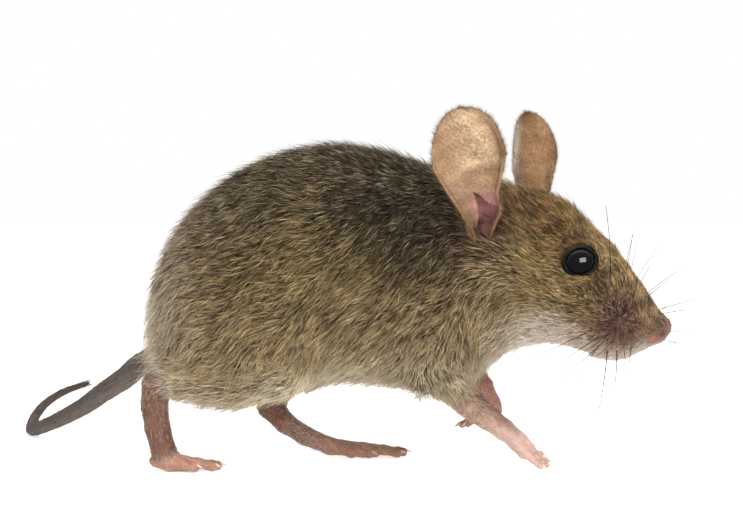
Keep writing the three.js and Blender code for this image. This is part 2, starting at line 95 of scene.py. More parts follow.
def mix(a: np.ndarray, b: np.ndarray, t: np.ndarray) -> np.ndarray:
    """Blends rows of a towards b, by one share per row."""
    t = np.asarray(t)[..., None]
    return a * (1 - t) + b * t


def curve(knots: np.ndarray, steps: int) -> np.ndarray:
    """Runs a smooth Catmull-Rom line through every knot.

    Args:
        knots: rows of any width.
        steps: how many pieces each span is cut into.
    Returns:
        Rows along the line, both ends included.
    """
    k = np.asarray(knots, float)
    k = np.vstack([2 * k[0] - k[1], k, 2 * k[-1] - k[-2]])
    t = np.arange(steps)[:, None] / steps
    spans = [
        0.5 * (2 * b + (c - a) * t + (2 * a - 5 * b + 4 * c - d) * t**2 + (3 * b - a - 3 * c + d) * t**3)
        for a, b, c, d in zip(k, k[1:], k[2:], k[3:])
    ]
    return np.vstack(spans + [k[-2:-1]])


def waves(p: np.ndarray, period: float, seed: int, layers: int = 4) -> np.ndarray:
    """A soft random field, made of a few crossed waves.

    Args:
        p: points in mm.
        period: rough distance in mm from one crest to the next.
        seed: picks the pattern.
        layers: how many waves are added up.
    Returns:
        One value per point, mostly between -1 and 1.
    """
    rng = np.random.default_rng(seed)
    total = 0
    for _ in range(layers):
        way = unit(rng.normal(size=3)) * 2 * math.pi / (period * rng.uniform(0.7, 1.4))
        total = total + np.sin(p @ way + rng.uniform(0, 2 * math.pi))
    return total / math.sqrt(layers)


def smooth_min(a: np.ndarray, b: np.ndarray, blend: float) -> np.ndarray:
    """The lesser of two distances, rounded over the width of blend where they cross."""
    h = np.clip(0.5 + 0.5 * (b - a) / blend, 0, 1)
    return b * (1 - h) + a * h - blend * h * (1 - h)


# ------------------------------------------------------------------ form, in mm, nose towards +x
@dataclass(frozen=True)
class Station:
    """One cross-section of the body, out to the tips of the coat.

    top and bottom are (x, z) on the back and belly lines, half is the half width, full
    widens the lower part and coat is how far the skin lies inside.
    """

    top: tuple
    bottom: tuple
    half: float
    full: float
    coat: float


STATIONS = (
    Station((-29.9, 18.6), (-29.9, 18.5), 0.1, 0.0, 1.5),
    Station((-29.0, 25.2), (-29.1, 12.6), 6.2, 0.04, 1.7),
    Station((-26.9, 30.6), (-26.6, 9.6), 9.6, 0.06, 1.9),
    Station((-23.2, 35.5), (-22.8, 8.0), 12.0, 0.1, 2.0),
    Station((-17.8, 39.8), (-17.6, 7.7), 13.6, 0.12, 2.1),
    Station((-11.4, 42.5), (-11.8, 9.6), 13.9, 0.14, 2.1),
    Station((-4.4, 43.5), (-5.6, 11.0), 13.3, 0.14, 2.1),
    Station((2.0, 42.6), (0.6, 10.9), 12.3, 0.14, 2.0),
    Station((7.2, 40.9), (6.4, 10.2), 11.5, 0.14, 1.9),
    Station((11.4, 39.5), (11.4, 10.0), 10.6, 0.1, 1.8),
    Station((15.2, 38.2), (14.8, 12.6), 9.7, 0.06, 1.6),
    Station((18.8, 37.3), (17.6, 15.0), 9.0, 0.04, 1.4),
    Station((22.4, 36.6), (20.9, 16.2), 8.5, 0.02, 1.15),
    Station((25.6, 35.1), (24.2, 16.7), 8.0, 0.0, 0.9),
    Station((28.2, 32.7), (27.2, 15.9), 7.1, 0.02, 0.7),
    Station((30.9, 29.9), (29.9, 15.1), 5.9, 0.12, 0.55),
    Station((33.3, 27.2), (32.3, 14.8), 5.0, 0.16, 0.4),
    Station((35.4, 24.3), (34.6, 15.3), 4.2, 0.16, 0.3),
    Station((37.0, 21.6), (36.6, 16.3), 3.0, 0.08, 0.2),
    Station((38.2, 19.9), (38.1, 16.9), 1.8, 0.0, 0.1),
    Station((38.8, 18.25), (38.8, 18.15), 0.1, 0.0, 0.05),
)


@dataclass(frozen=True)
class Spine:
    """The body's axis, straight to the neck and then turned to the right with the head."""

    bend_at: float = 12.0
    blend: float = 4.0
    yaw: float = math.radians(17)

    def side(self, x: np.ndarray) -> np.ndarray:
        """How far the axis lies towards +y.

        Args:
            x: places along the body in mm.
        Returns:
            The y of the axis there.
        """
        past = np.asarray(x, float) - self.bend_at
        bent = np.where(past >= self.blend, past, np.clip(past + self.blend, 0, None) ** 2 / (4 * self.blend))
        return -math.tan(self.yaw) * bent

    def turn(self, x: np.ndarray) -> np.ndarray:
        """The angle in radians that cross-sections have turned by."""
        return self.yaw * smooth(self.bend_at - self.blend, self.bend_at + self.blend, np.asarray(x, float))

    def place(self, x: float, lateral: float, z: float) -> np.ndarray:
        """The point at x along the axis, lateral to the animal's left and z up, in mm."""
        a = float(self.turn(x))
        return np.array([x + lateral * math.sin(a), float(self.side(x)) + lateral * math.cos(a), z])

    def mirrored(self, place: tuple, side: int) -> np.ndarray:
        """The point at a place on the left side (1) or at its mirror image on the right (-1)."""
        return self.place(place[0], side * place[1], place[2])


SPINE = Spine()


@dataclass(frozen=True)
class Leg:
    """One leg: a thigh, a chain of tapered lengths and a fan of toes.

    thigh, size and pitch are an ellipsoid's middle, half lengths and dip. Each stop is x, y, z, radius, width
    ratio and bareness. The toes fan out from the ball, ahead, with the sole facing drop; medial is the way in
    towards the other foot.
    """

    name: str
    thigh: tuple
    size: tuple
    pitch: float
    stops: tuple
    ball: tuple
    ahead: tuple
    drop: tuple
    medial: int
    hind: bool

    def lengths(self) -> list:
        """The tapered lengths of the leg without its toes, as pairs of stops."""
        rows = [np.array(s, float) for s in self.stops]
        return list(zip(rows, rows[1:]))

    def segments(self) -> list:
        """Every tapered length of the leg and its toes.

        Returns:
            Pairs of rows of x, y, z, radius, width ratio and bareness.
        """
        pairs = self.lengths()
        for toe in self.toes():
            pairs += list(zip(toe, toe[1:]))
        return pairs

    def across(self) -> np.ndarray:
        """The way that the foot is wide."""
        return unit(np.cross(np.array(self.ahead, float), np.array(self.drop, float)))

    def toes(self) -> list:
        """The toes, each as rows from its root to the tip of its pad.

        Returns:
            One array of rows per toe, the innermost first.
        """
        forward, down = unit(np.array(self.ahead, float)), unit(np.array(self.drop, float))
        side = self.across() * np.sign(self.across()[1] * self.medial)
        made = []
        r = HIND_TOE if self.hind else FORE_TOE
        for across, back, length, splay in HIND_TOES if self.hind else FORE_TOES:
            a = math.radians(splay)
            way = forward * math.cos(a) + side * math.sin(a)
            root = np.array(self.ball) + side * across - forward * back
            toe = []
            for along, lift, thick in TOE_MARKS:
                spot = root + way * (length * along) - down * (lift * r * 1.4)
                toe.append([*spot, r * thick, 1, 1])
            toe = np.array(toe)
            toe[:, 2] = np.maximum(toe[:, 2], toe[:, 3] * 0.8)
            made.append(toe)
        return made

    def survey(self, p: np.ndarray) -> tuple:
        """Finds what part of the leg is nearest to each point.

        Args:
            p: points in mm.
        Returns:
            Distances, the way that the leg runs and bareness.
        """
        best, bare, way = np.full(p.shape[:-1], np.inf), np.zeros(p.shape[:-1]), np.zeros(p.shape)
        for a, b in self.segments():
            d, h = capsule(p, a, b, self.across())
            closer = d < best
            best = np.where(closer, d, best)
            way = np.where(closer[..., None], unit(b[:3] - a[:3]), way)
            bare = np.where(closer, a[5] + (b[5] - a[5]) * h, bare)
        return best, way, bare


# radius of a toe in mm
HIND_TOE, FORE_TOE = 0.66, 0.47
# place along a toe, how far it arches up there and how thick it is, both as shares of its radius
TOE_MARKS = (
    (-0.7, 0.5, 1.0), (-0.1, 0.15, 1.12), (0.22, 0.42, 0.84),
    (0.45, 0.32, 0.96), (0.68, 0.1, 0.72), (0.94, 0.0, 1.0),
)
# across, behind the ball, length and splay in degrees of each toe, the innermost first
HIND_TOES = (
    (1.75, 2.8, 2.4, 24), (1.45, 0.4, 3.9, 11), (0.5, 0, 4.4, 3),
    (-0.55, 0.2, 4.2, -6), (-1.55, 1.5, 3.4, -16),
)
FORE_TOES = ((1.2, 0.1, 2.7, 20), (0.42, 0, 3.3, 6), (-0.42, 0, 3.3, -6), (-1.2, 0.1, 2.7, -22))

LEGS = (
    Leg(
        name="hind_right", thigh=(-15.4, -9.4, 19.6), size=(8.2, 4.2, 8.4), pitch=20,
        stops=(
            (-12.5, -9.8, 13.0, 2.7, 1.1, 0), (-18.5, -9.9, 12.2, 2.1, 1.1, 0),
            (-24.0, -9.5, 12.2, 1.55, 1.1, 0),
            (-28.1, -9.1, 11.3, 1.6, 1.0, 0.6), (-28.3, -9.1, 8.6, 1.6, 1.12, 0.8),
            (-27.9, -9.1, 5.6, 1.5, 1.2, 0.84), (-27.2, -9.1, 3.0, 1.45, 1.35, 0.88),
            (-26.2, -9.1, 1.3, 1.25, 1.6, 1), (-23.9, -9.1, 0.95, 1.0, 2.1, 1),
        ),
        ball=(-24.3, -9.1, 0.75), ahead=(1, -0.1, 0), drop=(0, 0, -1), medial=1, hind=True,
    ),
    Leg(
        name="hind_left", thigh=(-12.6, 9.4, 18.8), size=(8.2, 4.2, 8.0), pitch=-10,
        stops=(
            (-4.6, 9.6, 14.8, 2.6, 1.1, 0), (-8.6, 9.4, 12.8, 2.1, 1.1, 0),
            (-12.0, 9.0, 10.2, 1.75, 1.1, 0.6),
            (-13.9, 8.7, 7.0, 1.55, 1.0, 0.85), (-11.8, 8.7, 4.7, 1.35, 1.1, 0.92),
            (-9.0, 8.7, 2.9, 1.25, 1.2, 0.95), (-5.6, 8.7, 1.5, 1.15, 1.5, 1),
            (-1.2, 8.7, 1.0, 1.0, 2.1, 1), (0.4, 8.7, 0.9, 0.95, 2.0, 1),
        ),
        ball=(0.1, 8.7, 0.75), ahead=(1, 0.1, 0), drop=(0, 0, -1), medial=-1, hind=True,
    ),
    Leg(
        name="fore_right", thigh=(8.4, -7.2, 17.4), size=(4.2, 3.2, 6.2), pitch=16,
        stops=(
            (8.6, -8.0, 14.4, 2.2, 1.0, 0), (10.6, -8.0, 11.2, 1.8, 1.0, 0.3),
            (12.9, -7.4, 8.6, 1.7, 1.0, 0.7),
            (15.2, -6.4, 6.8, 1.5, 1.0, 0.86), (17.4, -5.5, 5.15, 1.35, 1.05, 0.94),
            (19.4, -4.9, 3.5, 1.2, 1.3, 1), (20.9, -4.5, 2.35, 0.85, 1.7, 1),
        ),
        ball=(20.3, -4.6, 1.9), ahead=(0.88, 0.1, -0.42), drop=(-0.38, 0.3, -0.87), medial=1, hind=False,
    ),
    Leg(
        name="fore_left", thigh=(9.2, 7.0, 15.6), size=(4.2, 3.2, 5.8), pitch=10,
        stops=(
            (10.6, 7.2, 14.6, 2.1, 1.0, 0), (12.8, 6.8, 12.4, 1.6, 1.0, 0.5),
            (15.0, 6.4, 10.0, 1.35, 1.0, 0.85),
            (16.4, 6.2, 7.4, 1.15, 1.0, 0.92), (15.6, 6.2, 6.0, 1.0, 1.5, 1), (14.9, 6.2, 5.6, 0.8, 1.8, 1),
        ),
        ball=(15.2, 6.2, 5.6), ahead=(-1, 0, -0.3), drop=(0.3, 0, -1), medial=-1, hind=False,
    ),
)
ACROSS_BODY = np.array([0.0, 1.0, 0.0])


def capsule(p: np.ndarray, a: np.ndarray, b: np.ndarray, across: np.ndarray = ACROSS_BODY) -> tuple:
    """Distance to a tapered, rounded length that may be wider than thick.

    Args:
        p: points.
        a: x, y, z, radius and width ratio of the start.
        b: the same of the end.
        across: the way that it is wide.
    Returns:
        Distances, and shares from a to b.
    """
    along = b[:3] - a[:3]
    off = p - a[:3]
    h = np.clip(off @ along / (along @ along), 0, 1)
    off = off - h[..., None] * along
    out = off @ across
    off = off + (out * (1 / (a[4] + (b[4] - a[4]) * h) - 1))[..., None] * across
    return np.linalg.norm(off, axis=-1) - (a[3] + (b[3] - a[3]) * h), h


def ellipsoid(p: np.ndarray, centre: tuple, radii: tuple, turn: np.ndarray = np.eye(3)) -> np.ndarray:
    """Distance to an ellipsoid, near its surface.

    Args:
        p: points.
        centre: its middle.
        radii: its three half lengths.
        turn: rows are the ellipsoid's own axes.
    Returns:
        Distances.
    """
    q = (p - np.array(centre)) @ turn.T
    near = np.linalg.norm(q / radii, axis=-1)
    return near * (near - 1) / (np.linalg.norm(q / np.square(radii), axis=-1) + 1e-9)


def pitched(degrees: float) -> np.ndarray:
    """Axes turned about y, the long way dipping towards the nose, as three rows."""
    c, s = math.cos(math.radians(degrees)), math.sin(math.radians(degrees))
    return np.array([[c, 0, -s], [0, 1, 0], [s, 0, c]])


@dataclass
class Mould:
    """Signed distances on a regular grid, that forms are added to and carved out of."""

    low: tuple = (-33.0, -18.0, -2.0)
    high: tuple = (41.0, 18.0, 46.0)

    def start(self, points: np.ndarray, quads: np.ndarray) -> None:
        """Fills the grid with the distance to one closed mesh.

        Args:
            points: its corners in mm.
            quads: its faces.
        """
        self.first = np.floor(np.array(self.low) / VOXEL).astype(int)
        count = np.ceil(np.array(self.high) / VOXEL).astype(int) - self.first
        grid = openvdb.FloatGrid.createLevelSetFromPolygons(
            points.astype(np.float32), quads=quads.astype(np.uint32),
            transform=openvdb.createLinearTransform(voxelSize=VOXEL), halfWidth=20,
        )
        self.values = np.zeros(count, np.float32)
        grid.copyToArray(self.values, ijk=tuple(int(i) for i in self.first))

    def window(self, low: np.ndarray, high: np.ndarray) -> tuple:
        """The part of the grid inside a box.

        Args:
            low: lowest corner in mm.
            high: highest corner in mm.
        Returns:
            Index slices and the points there.
        """
        a = np.clip(np.floor(np.array(low) / VOXEL).astype(int) - self.first, 0, self.values.shape)
        b = np.clip(np.ceil(np.array(high) / VOXEL).astype(int) - self.first, 1, self.values.shape)
        axes = [(np.arange(i, j) + f) * VOXEL for i, j, f in zip(a, b, self.first)]
        return tuple(slice(i, j) for i, j in zip(a, b)), np.stack(np.meshgrid(*axes, indexing="ij"), -1)

    def add(self, shape: Form, low: np.ndarray, high: np.ndarray, blend: float) -> None:
        """Joins on a form that lies between two corners of a box, rounded by blend in mm."""
        cells, p = self.window(low, high)
        self.values[cells] = smooth_min(self.values[cells], shape(p), blend)

    def carve(self, shape: Form, low: np.ndarray, high: np.ndarray, blend: float) -> None:
        """Takes away a form that lies between two corners of a box, rounded by blend in mm."""
        cells, p = self.window(low, high)
        self.values[cells] = -smooth_min(-self.values[cells], shape(p), blend)

    def read(self, p: np.ndarray) -> np.ndarray:
        """Distances at points between the grid's own.

        Args:
            p: points in mm.
        Returns:
            Distances to the skin.
        """
        q = np.clip(p / VOXEL - self.first, 0, np.array(self.values.shape) - 1.001)
        cell = q.astype(int)
        f = q - cell
        total = 0
        for corner in np.ndindex(2, 2, 2):
            share = np.prod(np.where(corner, f, 1 - f), axis=-1)
            total = total + share * self.values[tuple((cell + corner).T)]
        return total

    def surface(self) -> tuple:
        """The zero surface.

        Returns:
            Corners in mm and quads.
        """
        grid = openvdb.FloatGrid(3.0)
        grid.transform = openvdb.createLinearTransform(voxelSize=VOXEL)
        grid.copyFromArray(self.values, ijk=tuple(int(i) for i in self.first))
        points, quads = grid.convertToQuads(isovalue=0.0)
        return points.astype(float), quads.astype(int)


def grid_quads(rows: int, columns: int) -> np.ndarray:
    """Faces between neighbouring loops of points.

    Args:
        rows: how many loops.
        columns: how many points in each.
    Returns:
        Corner numbers, four to a face.
    """
    here, c = np.meshgrid(np.arange(rows - 1) * columns, np.arange(columns), indexing="ij")
    n = (c + 1) % columns
    beyond = here + columns
    return np.stack([here + c, beyond + c, beyond + n, here + n], -1).reshape(-1, 4)


@dataclass
class Body:
    """The skin of the trunk, head, legs and feet, as one blended form."""

    sides: int = 72
    fullness: float = 2.25  # 2 is an ellipse and more is boxier
    steps: int = 6
    thinnest: float = 0.02

    def __post_init__(self) -> None:
        """Works out the dense profile along the body."""
        knots = [[*s.top, *s.bottom, s.half, s.full, s.coat] for s in STATIONS]
        self.profile = curve(np.array(knots), self.steps)
        self.profile[:, 4] = np.clip(self.profile[:, 4], self.thinnest, None)
        self.middle = (self.profile[:, 0] + self.profile[:, 2]) / 2

    def loft(self) -> tuple:
        """The body's outer form as rings.

        Returns:
            Corners in mm and quads, closed by two flat rings at the very ends.
        """
        top, bottom = self.profile[:, 0:2], self.profile[:, 2:4]
        centre, rise = (top + bottom) / 2, (top - bottom) / 2
        turn = np.linspace(0, 2 * math.pi, self.sides, endpoint=False)
        up, out = (np.sign(v) * np.abs(v) ** (2 / self.fullness) for v in (np.cos(turn), np.sin(turn)))
        half, full = self.profile[:, 4:5], self.profile[:, 5:6]
        wide = out * (1 - full * np.cos(turn)) * half
        yaw = SPINE.turn(centre[:, :1])
        x = centre[:, :1] + rise[:, :1] * up + np.sin(yaw) * wide
        y = SPINE.side(centre[:, :1]) + np.cos(yaw) * wide
        z = centre[:, 1:] + rise[:, 1:] * up
        rings = np.stack([x, y, z], -1)
        ends = [np.repeat(r.mean(0, keepdims=True), self.sides, 0)[None] for r in (rings[0], rings[-1])]
        rings = np.concatenate([ends[0], rings, ends[1]])
        return rings.reshape(-1, 3), grid_quads(len(rings), self.sides)

    def station(self, p: np.ndarray) -> tuple:
        """Where points lie on an unwrap of the body.

        Args:
            p: points in mm.
        Returns:
            The angle from the back line, the height share and the coat's depth.
        """
        a = SPINE.turn(p[..., 0])
        x = p[..., 0] - (p[..., 1] - SPINE.side(p[..., 0])) * np.sin(a)
        lateral = (p[..., 1] - SPINE.side(x)) / np.cos(a)
        order = np.argsort(self.middle)
        columns = self.profile[order][:, [1, 3, 4, 6]].T
        top, bottom, half, coat = (np.interp(x, self.middle[order], column) for column in columns)
        centre = (top + bottom) / 2
        rise = (p[..., 2] - centre) / np.maximum(top - centre, 1)
        angle = np.arctan2(lateral / np.maximum(half, 1), rise)
        height = (p[..., 2] - bottom) / np.maximum(top - bottom, 2)
        return angle, height, coat

    def build(self) -> tuple:
        """Models the skin.

        Returns:
            Corners in mm and quads.
        """
        mould = self.mould = Mould()
        mould.start(*self.loft())
        cells, p = mould.window(mould.low, mould.high)
        _, height, coat = self.station(p)
        inset = coat * (0.75 + 0.25 * smooth(0.0, 0.3, height)) + 1.4 * near(p, TAIL_BASE, 5.0)
        mould.values += inset.astype(np.float32)
        for leg in LEGS:
            self.add_leg(mould, leg)
        self.shape_head(mould)
        cells, p = mould.window(mould.low, (mould.high[0], mould.high[1], 1.5))
        mould.values[cells] = np.maximum(mould.values[cells], FLOOR_GAP - p[..., 2])
        return mould.surface()

    def add_leg(self, mould: Mould, leg: Leg) -> None:
        """Joins a leg on.

        Args:
            mould: what it is joined to.
            leg: its form.
        """
        reach = max(leg.size) + 1
        low, high = np.array(leg.thigh) - reach, np.array(leg.thigh) + reach
        mould.add(lambda p: ellipsoid(p, leg.thigh, leg.size, pitched(leg.pitch)), low, high, 2.0)
        for i, (a, b) in enumerate(leg.lengths()):
            self.add_length(mould, a, b, leg.across(), 1.2 if i < 2 else 0.45)
        for toe in leg.toes():
            for a, b in zip(toe, toe[1:]):
                self.add_length(mould, a, b, leg.across(), 0.16)
        self.add_pads(mould, leg)

    def add_pads(self, mould: Mould, leg: Leg) -> None:
        """Adds the round pads under a foot.

        Args:
            mould: what they are joined to.
            leg: the leg whose foot it is.
        """
        down = unit(np.array(leg.drop, float))
        for toe in leg.toes():
            r = toe[0][3]
            spot = toe[1][:3] + down * r * 0.55
            mould.add(lambda p: ellipsoid(p, spot, (r * 1.05, r * 0.85, r * 0.7)), spot - 2, spot + 2, 0.15)

    @staticmethod
    def add_length(mould: Mould, a: np.ndarray, b: np.ndarray, across: np.ndarray, blend: float) -> None:
        """Joins one tapered length on.

        Args:
            mould: what it is joined to.
            a: its start.
            b: its end.
            across: the way that it is wide.
            blend: rounding in mm.
        """
        reach = max(a[3] * a[4], b[3] * b[4]) + blend + 1
        low, high = np.minimum(a[:3], b[:3]) - reach, np.maximum(a[:3], b[:3]) + reach
        mould.add(lambda p: capsule(p, a, b, across)[0], low, high, blend)

    def shape_head(self, mould: Mould) -> None:
        """Models whisker pads, nose, mouth, eyelids and the mouths of the ears.

        Args:
            mould: the head without them.
        """
        self.lump(mould.add, (37.9, 0, 18.7), (1.3, 1.4, 1.25), 0.5)  # tip of the nose
        for side in SIDES:
            self.lump(mould.add, (33.2, side * 2.5, 18.8), (3.3, 1.9, 2.8), 0.9)  # whisker pad
            self.lump(mould.add, (32.2, side * 1.9, 17.0), (2.7, 1.6, 1.6), 0.7)  # upper lip
            mouth = (
                (36.3, side * 0.2, 16.3, 0.2), (34.4, side * 1.5, 15.6, 0.26),
                (31.8, side * 2.5, 15.5, 0.3), (29.4, side * 3.4, 16.6, 0.12),
            )
            self.groove(mould, mouth)
            self.lump(mould.carve, (38.3, side * 1.0, 18.1), (0.75, 0.4, 0.34), 0.15)  # nostril
            self.groove(mould, ((38.2, side * 1.15, 18.2, 0.22), (37.3, side * 1.6, 18.7, 0.15)))
        self.groove(mould, ((39.2, 0, 18.3, 0.16), (38.6, 0, 17.4, 0.16), (37.2, 0, 16.4, 0.2)))  # split lip
        self.lump(mould.add, (31.6, 0, 15.6), (2.5, 1.6, 0.8), 0.6)  # chin
        for eye in EYES:
            eye.set_lids(mould)
        for ear in EARS:
            spot = ear.mouth()
            mould.carve(lambda p: ellipsoid(p, spot, (1.35, 1.7, 2.0)), spot - 3, spot + 3, 0.5)

    @staticmethod
    def lump(work: Callable, place: tuple, radii: tuple, blend: float) -> None:
        """Adds or carves an ellipsoid, turned with the head.

        Args:
            work: the mould's own way of adding or of carving.
            place: where on the spine it is.
            radii: its half lengths.
            blend: rounding in mm.
        """
        c, s = math.cos(SPINE.yaw), math.sin(SPINE.yaw)
        axes = np.array([[c, -s, 0], [s, c, 0], [0, 0, 1]])
        spot, reach = SPINE.place(*place), max(radii)
        work(lambda p: ellipsoid(p, spot, radii, axes), spot - reach - 1.5, spot + reach + 1.5, blend)

    @staticmethod
    def groove(mould: Mould, stops: tuple) -> None:
        """Carves a thin line through stops.

        Args:
            mould: what it is carved into.
            stops: places on the spine, each with the line's radius there.
        """
        rows = [np.array([*SPINE.place(*place), radius, 1, 0]) for *place, radius in stops]
        for a, b in zip(rows, rows[1:]):
            low, high = np.minimum(a[:3], b[:3]) - 1.5, np.maximum(a[:3], b[:3]) + 1.5
            mould.carve(lambda p: capsule(p, a, b)[0], low, high, 0.2)


@dataclass(frozen=True)
class Eye:
    """A bulging black eye, and the lids round it."""

    name: str
    side: int
    place: tuple
    radii: tuple = (2.45, 2.25, 2.15)
    dip: float = 22.0
    lid: float = 0.34
    opening: tuple = (1.9, 1.66)

    def axes(self) -> np.ndarray:
        """The eye's own axes.

        Returns:
            Rows: the long way, the way that it looks, and the short way.
        """
        yaw = SPINE.yaw
        ahead = np.array([math.cos(yaw), -math.sin(yaw), 0])
        out = np.array([math.sin(yaw), math.cos(yaw), 0]) * self.side
        look = unit(out * 0.93 + ahead * 0.28 + np.array([0, 0, 0.2]))
        level = unit(ahead - look * (ahead @ look))
        rise = np.cross(level, look) * -self.side
        c, s = math.cos(math.radians(self.dip)), math.sin(math.radians(self.dip))
        return np.array([level * c - rise * s, look, rise * c + level * s])

    def centre(self) -> np.ndarray:
        """Its middle, in mm."""
        return np.array(self.place)

    def reach(self, p: np.ndarray, wide: float, high: float) -> np.ndarray:
        """How far points lie from the line of sight into the eye, as shares of an oval."""
        q = (p - self.centre()) @ self.axes().T
        return np.linalg.norm(q / np.array([wide, LOOK_DEPTH, high]), axis=-1)

    def set_lids(self, mould: Mould) -> None:
        """Wraps lids round the eye and opens them.

        Args:
            mould: the head.
        """
        at, axes = self.centre(), self.axes()
        grown = tuple(r + self.lid for r in self.radii)
        low, high = at - 5, at + 5

        def opening(p: np.ndarray) -> np.ndarray:
            """Distance to the gap between the lids."""
            q = (p - at) @ axes.T
            wide = np.hypot(q[..., 0] / self.opening[0], q[..., 2] / self.opening[1])
            return np.maximum((wide - 1) * self.opening[1], 0.3 - q[..., 1])

        mould.add(lambda p: ellipsoid(p, at, grown, axes), low, high, 0.7)
        mould.carve(opening, low, high, 0.3)
        mould.carve(lambda p: ellipsoid(p, at, tuple(r + 0.02 for r in self.radii), axes), low, high, 0.05)

    def mesh(self) -> tuple:
        """The eyeball.

        Returns:
            Corners in mm and quads.
        """
        rows, columns = 40, 56
        a = np.linspace(0.002, math.pi - 0.002, rows)[:, None]
        b = np.linspace(0, 2 * math.pi, columns, endpoint=False)
        ball = np.stack([np.sin(a) * np.cos(b), np.cos(a) + 0 * b, np.sin(a) * np.sin(b)], -1) * self.radii
        return (ball @ self.axes() + self.centre()).reshape(-1, 3), grid_quads(rows, columns)


EYES = (Eye("eye_right", -1, (27.0, -10.0, 27.2)), Eye("eye_left", 1, (30.0, -0.1, 27.2)))


@dataclass(frozen=True)
class Ear:
    """A cupped ear: a wall bent round its own axis, wide above and a funnel below."""

    name: str
    root: tuple
    tip: tuple
    facing: tuple
    side: int
    length: float = 17.85
    thickness: float = 0.4
    rows: int = 120
    columns: int = 72

    def axes(self) -> tuple:
        """The ear's own axes.

        Returns:
            Up the ear, out of the cup, and across it.
        """
        up = unit(np.array(self.tip) - np.array(self.root))
        out = np.array(self.facing, float)
        out = unit(out - up * (out @ up))
        return up, out, np.cross(up, out)

    def brow(self) -> np.ndarray:
        """The place in front of the ear's mouth where longer hair stands up over it, in mm."""
        return np.array(self.root) + np.array([3.0, -0.5 * self.side, 2.0])

    def mouth(self) -> np.ndarray:
        """The middle of the funnel's opening, where the ear meets the head, in mm."""
        axis, out, side = self.axes()
        return np.array(self.root) + axis * 1.9 + out * 0.9 - side * 0.9 * self.side

    def pocket(self) -> np.ndarray:
        """The nearly bare place under the ear's rear edge, in mm."""
        return np.array(self.root) + np.array([-2.4, 1.0 * self.side, 1.4])

    def wall(self, up: np.ndarray, across: np.ndarray, inwards: float) -> np.ndarray:
        """Points of the wall.

        Args:
            up: shares of the ear's height.
            across: -1 to 1 from edge to edge.
            inwards: distance from the back surface, towards the hollow.
        Returns:
            The points in mm.
        """
        axis, out, side = self.axes()
        levels = (0, 0.15, 0.3, 0.45, 0.62)
        chord = np.interp(up, levels, (2.0, 2.5, 3.2, 4.3, 5.4)) - 0.1
        bend = np.radians(np.interp(up, levels, (150, 125, 92, 64, 42)))
        above = np.clip((up - 0.62) / 0.38, 0, 1)
        radius = chord / np.sin(np.minimum(bend, math.pi / 2))
        rounded = np.arcsin(np.clip(chord * np.sqrt(1 - above**2) / radius, 0, 1))
        reach = np.where(above > 0, rounded, bend)
        front = -across * self.side
        rolled = smooth(0.7, 1.0, front) * smooth(0.2, 0.4, up) * smooth(0.98, 0.7, up)
        fold = self.folds(up, across, front)
        inner = inwards > 0
        lift = fold * (1 if inner else 0.35) + 0.9 * rolled * (1 if inner else 0.85)
        depth = radius - inwards - lift
        angle = reach * across
        at = np.array(self.root) + up[..., None] * self.length * axis
        sunk = 2.6 * smooth(0.3, 0.0, up)
        at = at + (radius - sunk - depth * np.cos(angle))[..., None] * out
        at = at + (depth * np.sin(angle))[..., None] * side
        return at + (rolled * -0.5 * np.sign(across))[..., None] * side * 0.6

    @staticmethod
    def folds(up: np.ndarray, across: np.ndarray, front: np.ndarray) -> np.ndarray:
        """How far the hollow side stands out in folds.

        Args:
            up: shares of the ear's height.
            across: -1 to 1 from edge to edge.
            front: -1 to 1 from the rear edge to the front one.
        Returns:
            Heights in mm.
        """
        middle = smooth(0.95, 0.35, abs(across))
        lip = up + 0.13 * front + 0.03 * front**2
        behind = smooth(-0.05, -0.22, front) * smooth(-0.05, 0.25, up)
        # the shelf over the funnel
        fold = 1.5 * smooth(0.545, 0.385, lip) * np.maximum(smooth(0.345, 0.375, lip), behind) * middle
        # the knob above it, the ridge that runs up from it, and the one inside the funnel
        fold += 0.65 * np.exp(-(((up - 0.57) / 0.045) ** 2 + ((front + 0.15) / 0.42) ** 2))
        slant = (front - 0.55 + 1.15 * (up - 0.56)) / 0.24
        fold += 0.45 * np.exp(-(slant**2)) * smooth(0.5, 0.62, up) * smooth(1.0, 0.85, up)
        inside = np.exp(-(((front + 0.16) / 0.1) ** 2))
        fold += 0.5 * inside * smooth(0.03, 0.1, up) * smooth(0.4, 0.3, up)
        return fold + 0.1 * np.sin(9 * up + 4 * across) * smooth(0.5, 0.6, up)

    def mesh(self) -> tuple:
        """The whole ear as a closed shell.

        Returns:
            Corners in mm, quads and whether each corner is on the inner side.
        """
        up = np.linspace(0, 0.6, self.rows)
        rounding = np.sin(np.linspace(0, math.pi / 2, self.rows // 2))[1:]
        up = np.concatenate([up, 0.6 + 0.397 * rounding])[:, None]
        v = np.linspace(-1, 1, self.columns)[None]
        back, front = self.wall(up, v + 0 * up, 0.0), self.wall(up, v + 0 * up, self.thickness)
        rings = np.concatenate([back, front[:, ::-1]], 1)
        inner = np.concatenate([np.zeros(v.shape), np.ones(v.shape)], 1) + 0 * up
        ends = [np.repeat(r.mean(0, keepdims=True), rings.shape[1], 0)[None] for r in (rings[0], rings[-1])]
        rings = np.concatenate([ends[0], rings, ends[1]])
        inner = np.concatenate([inner[:1], inner, inner[-1:]])
        return rings.reshape(-1, 3), grid_quads(len(rings), rings.shape[1]), inner.reshape(-1)


EARS = (
    Ear("ear_right", (14.4, -8.0, 30.2), (11.1, -12.4, 48.6), (0.16, -0.97, 0.1), -1),
    Ear("ear_left", (19.5, 3.6, 29.9), (20.8, 8.4, 46.3), (0.86, 0.5, 0), 1),
)


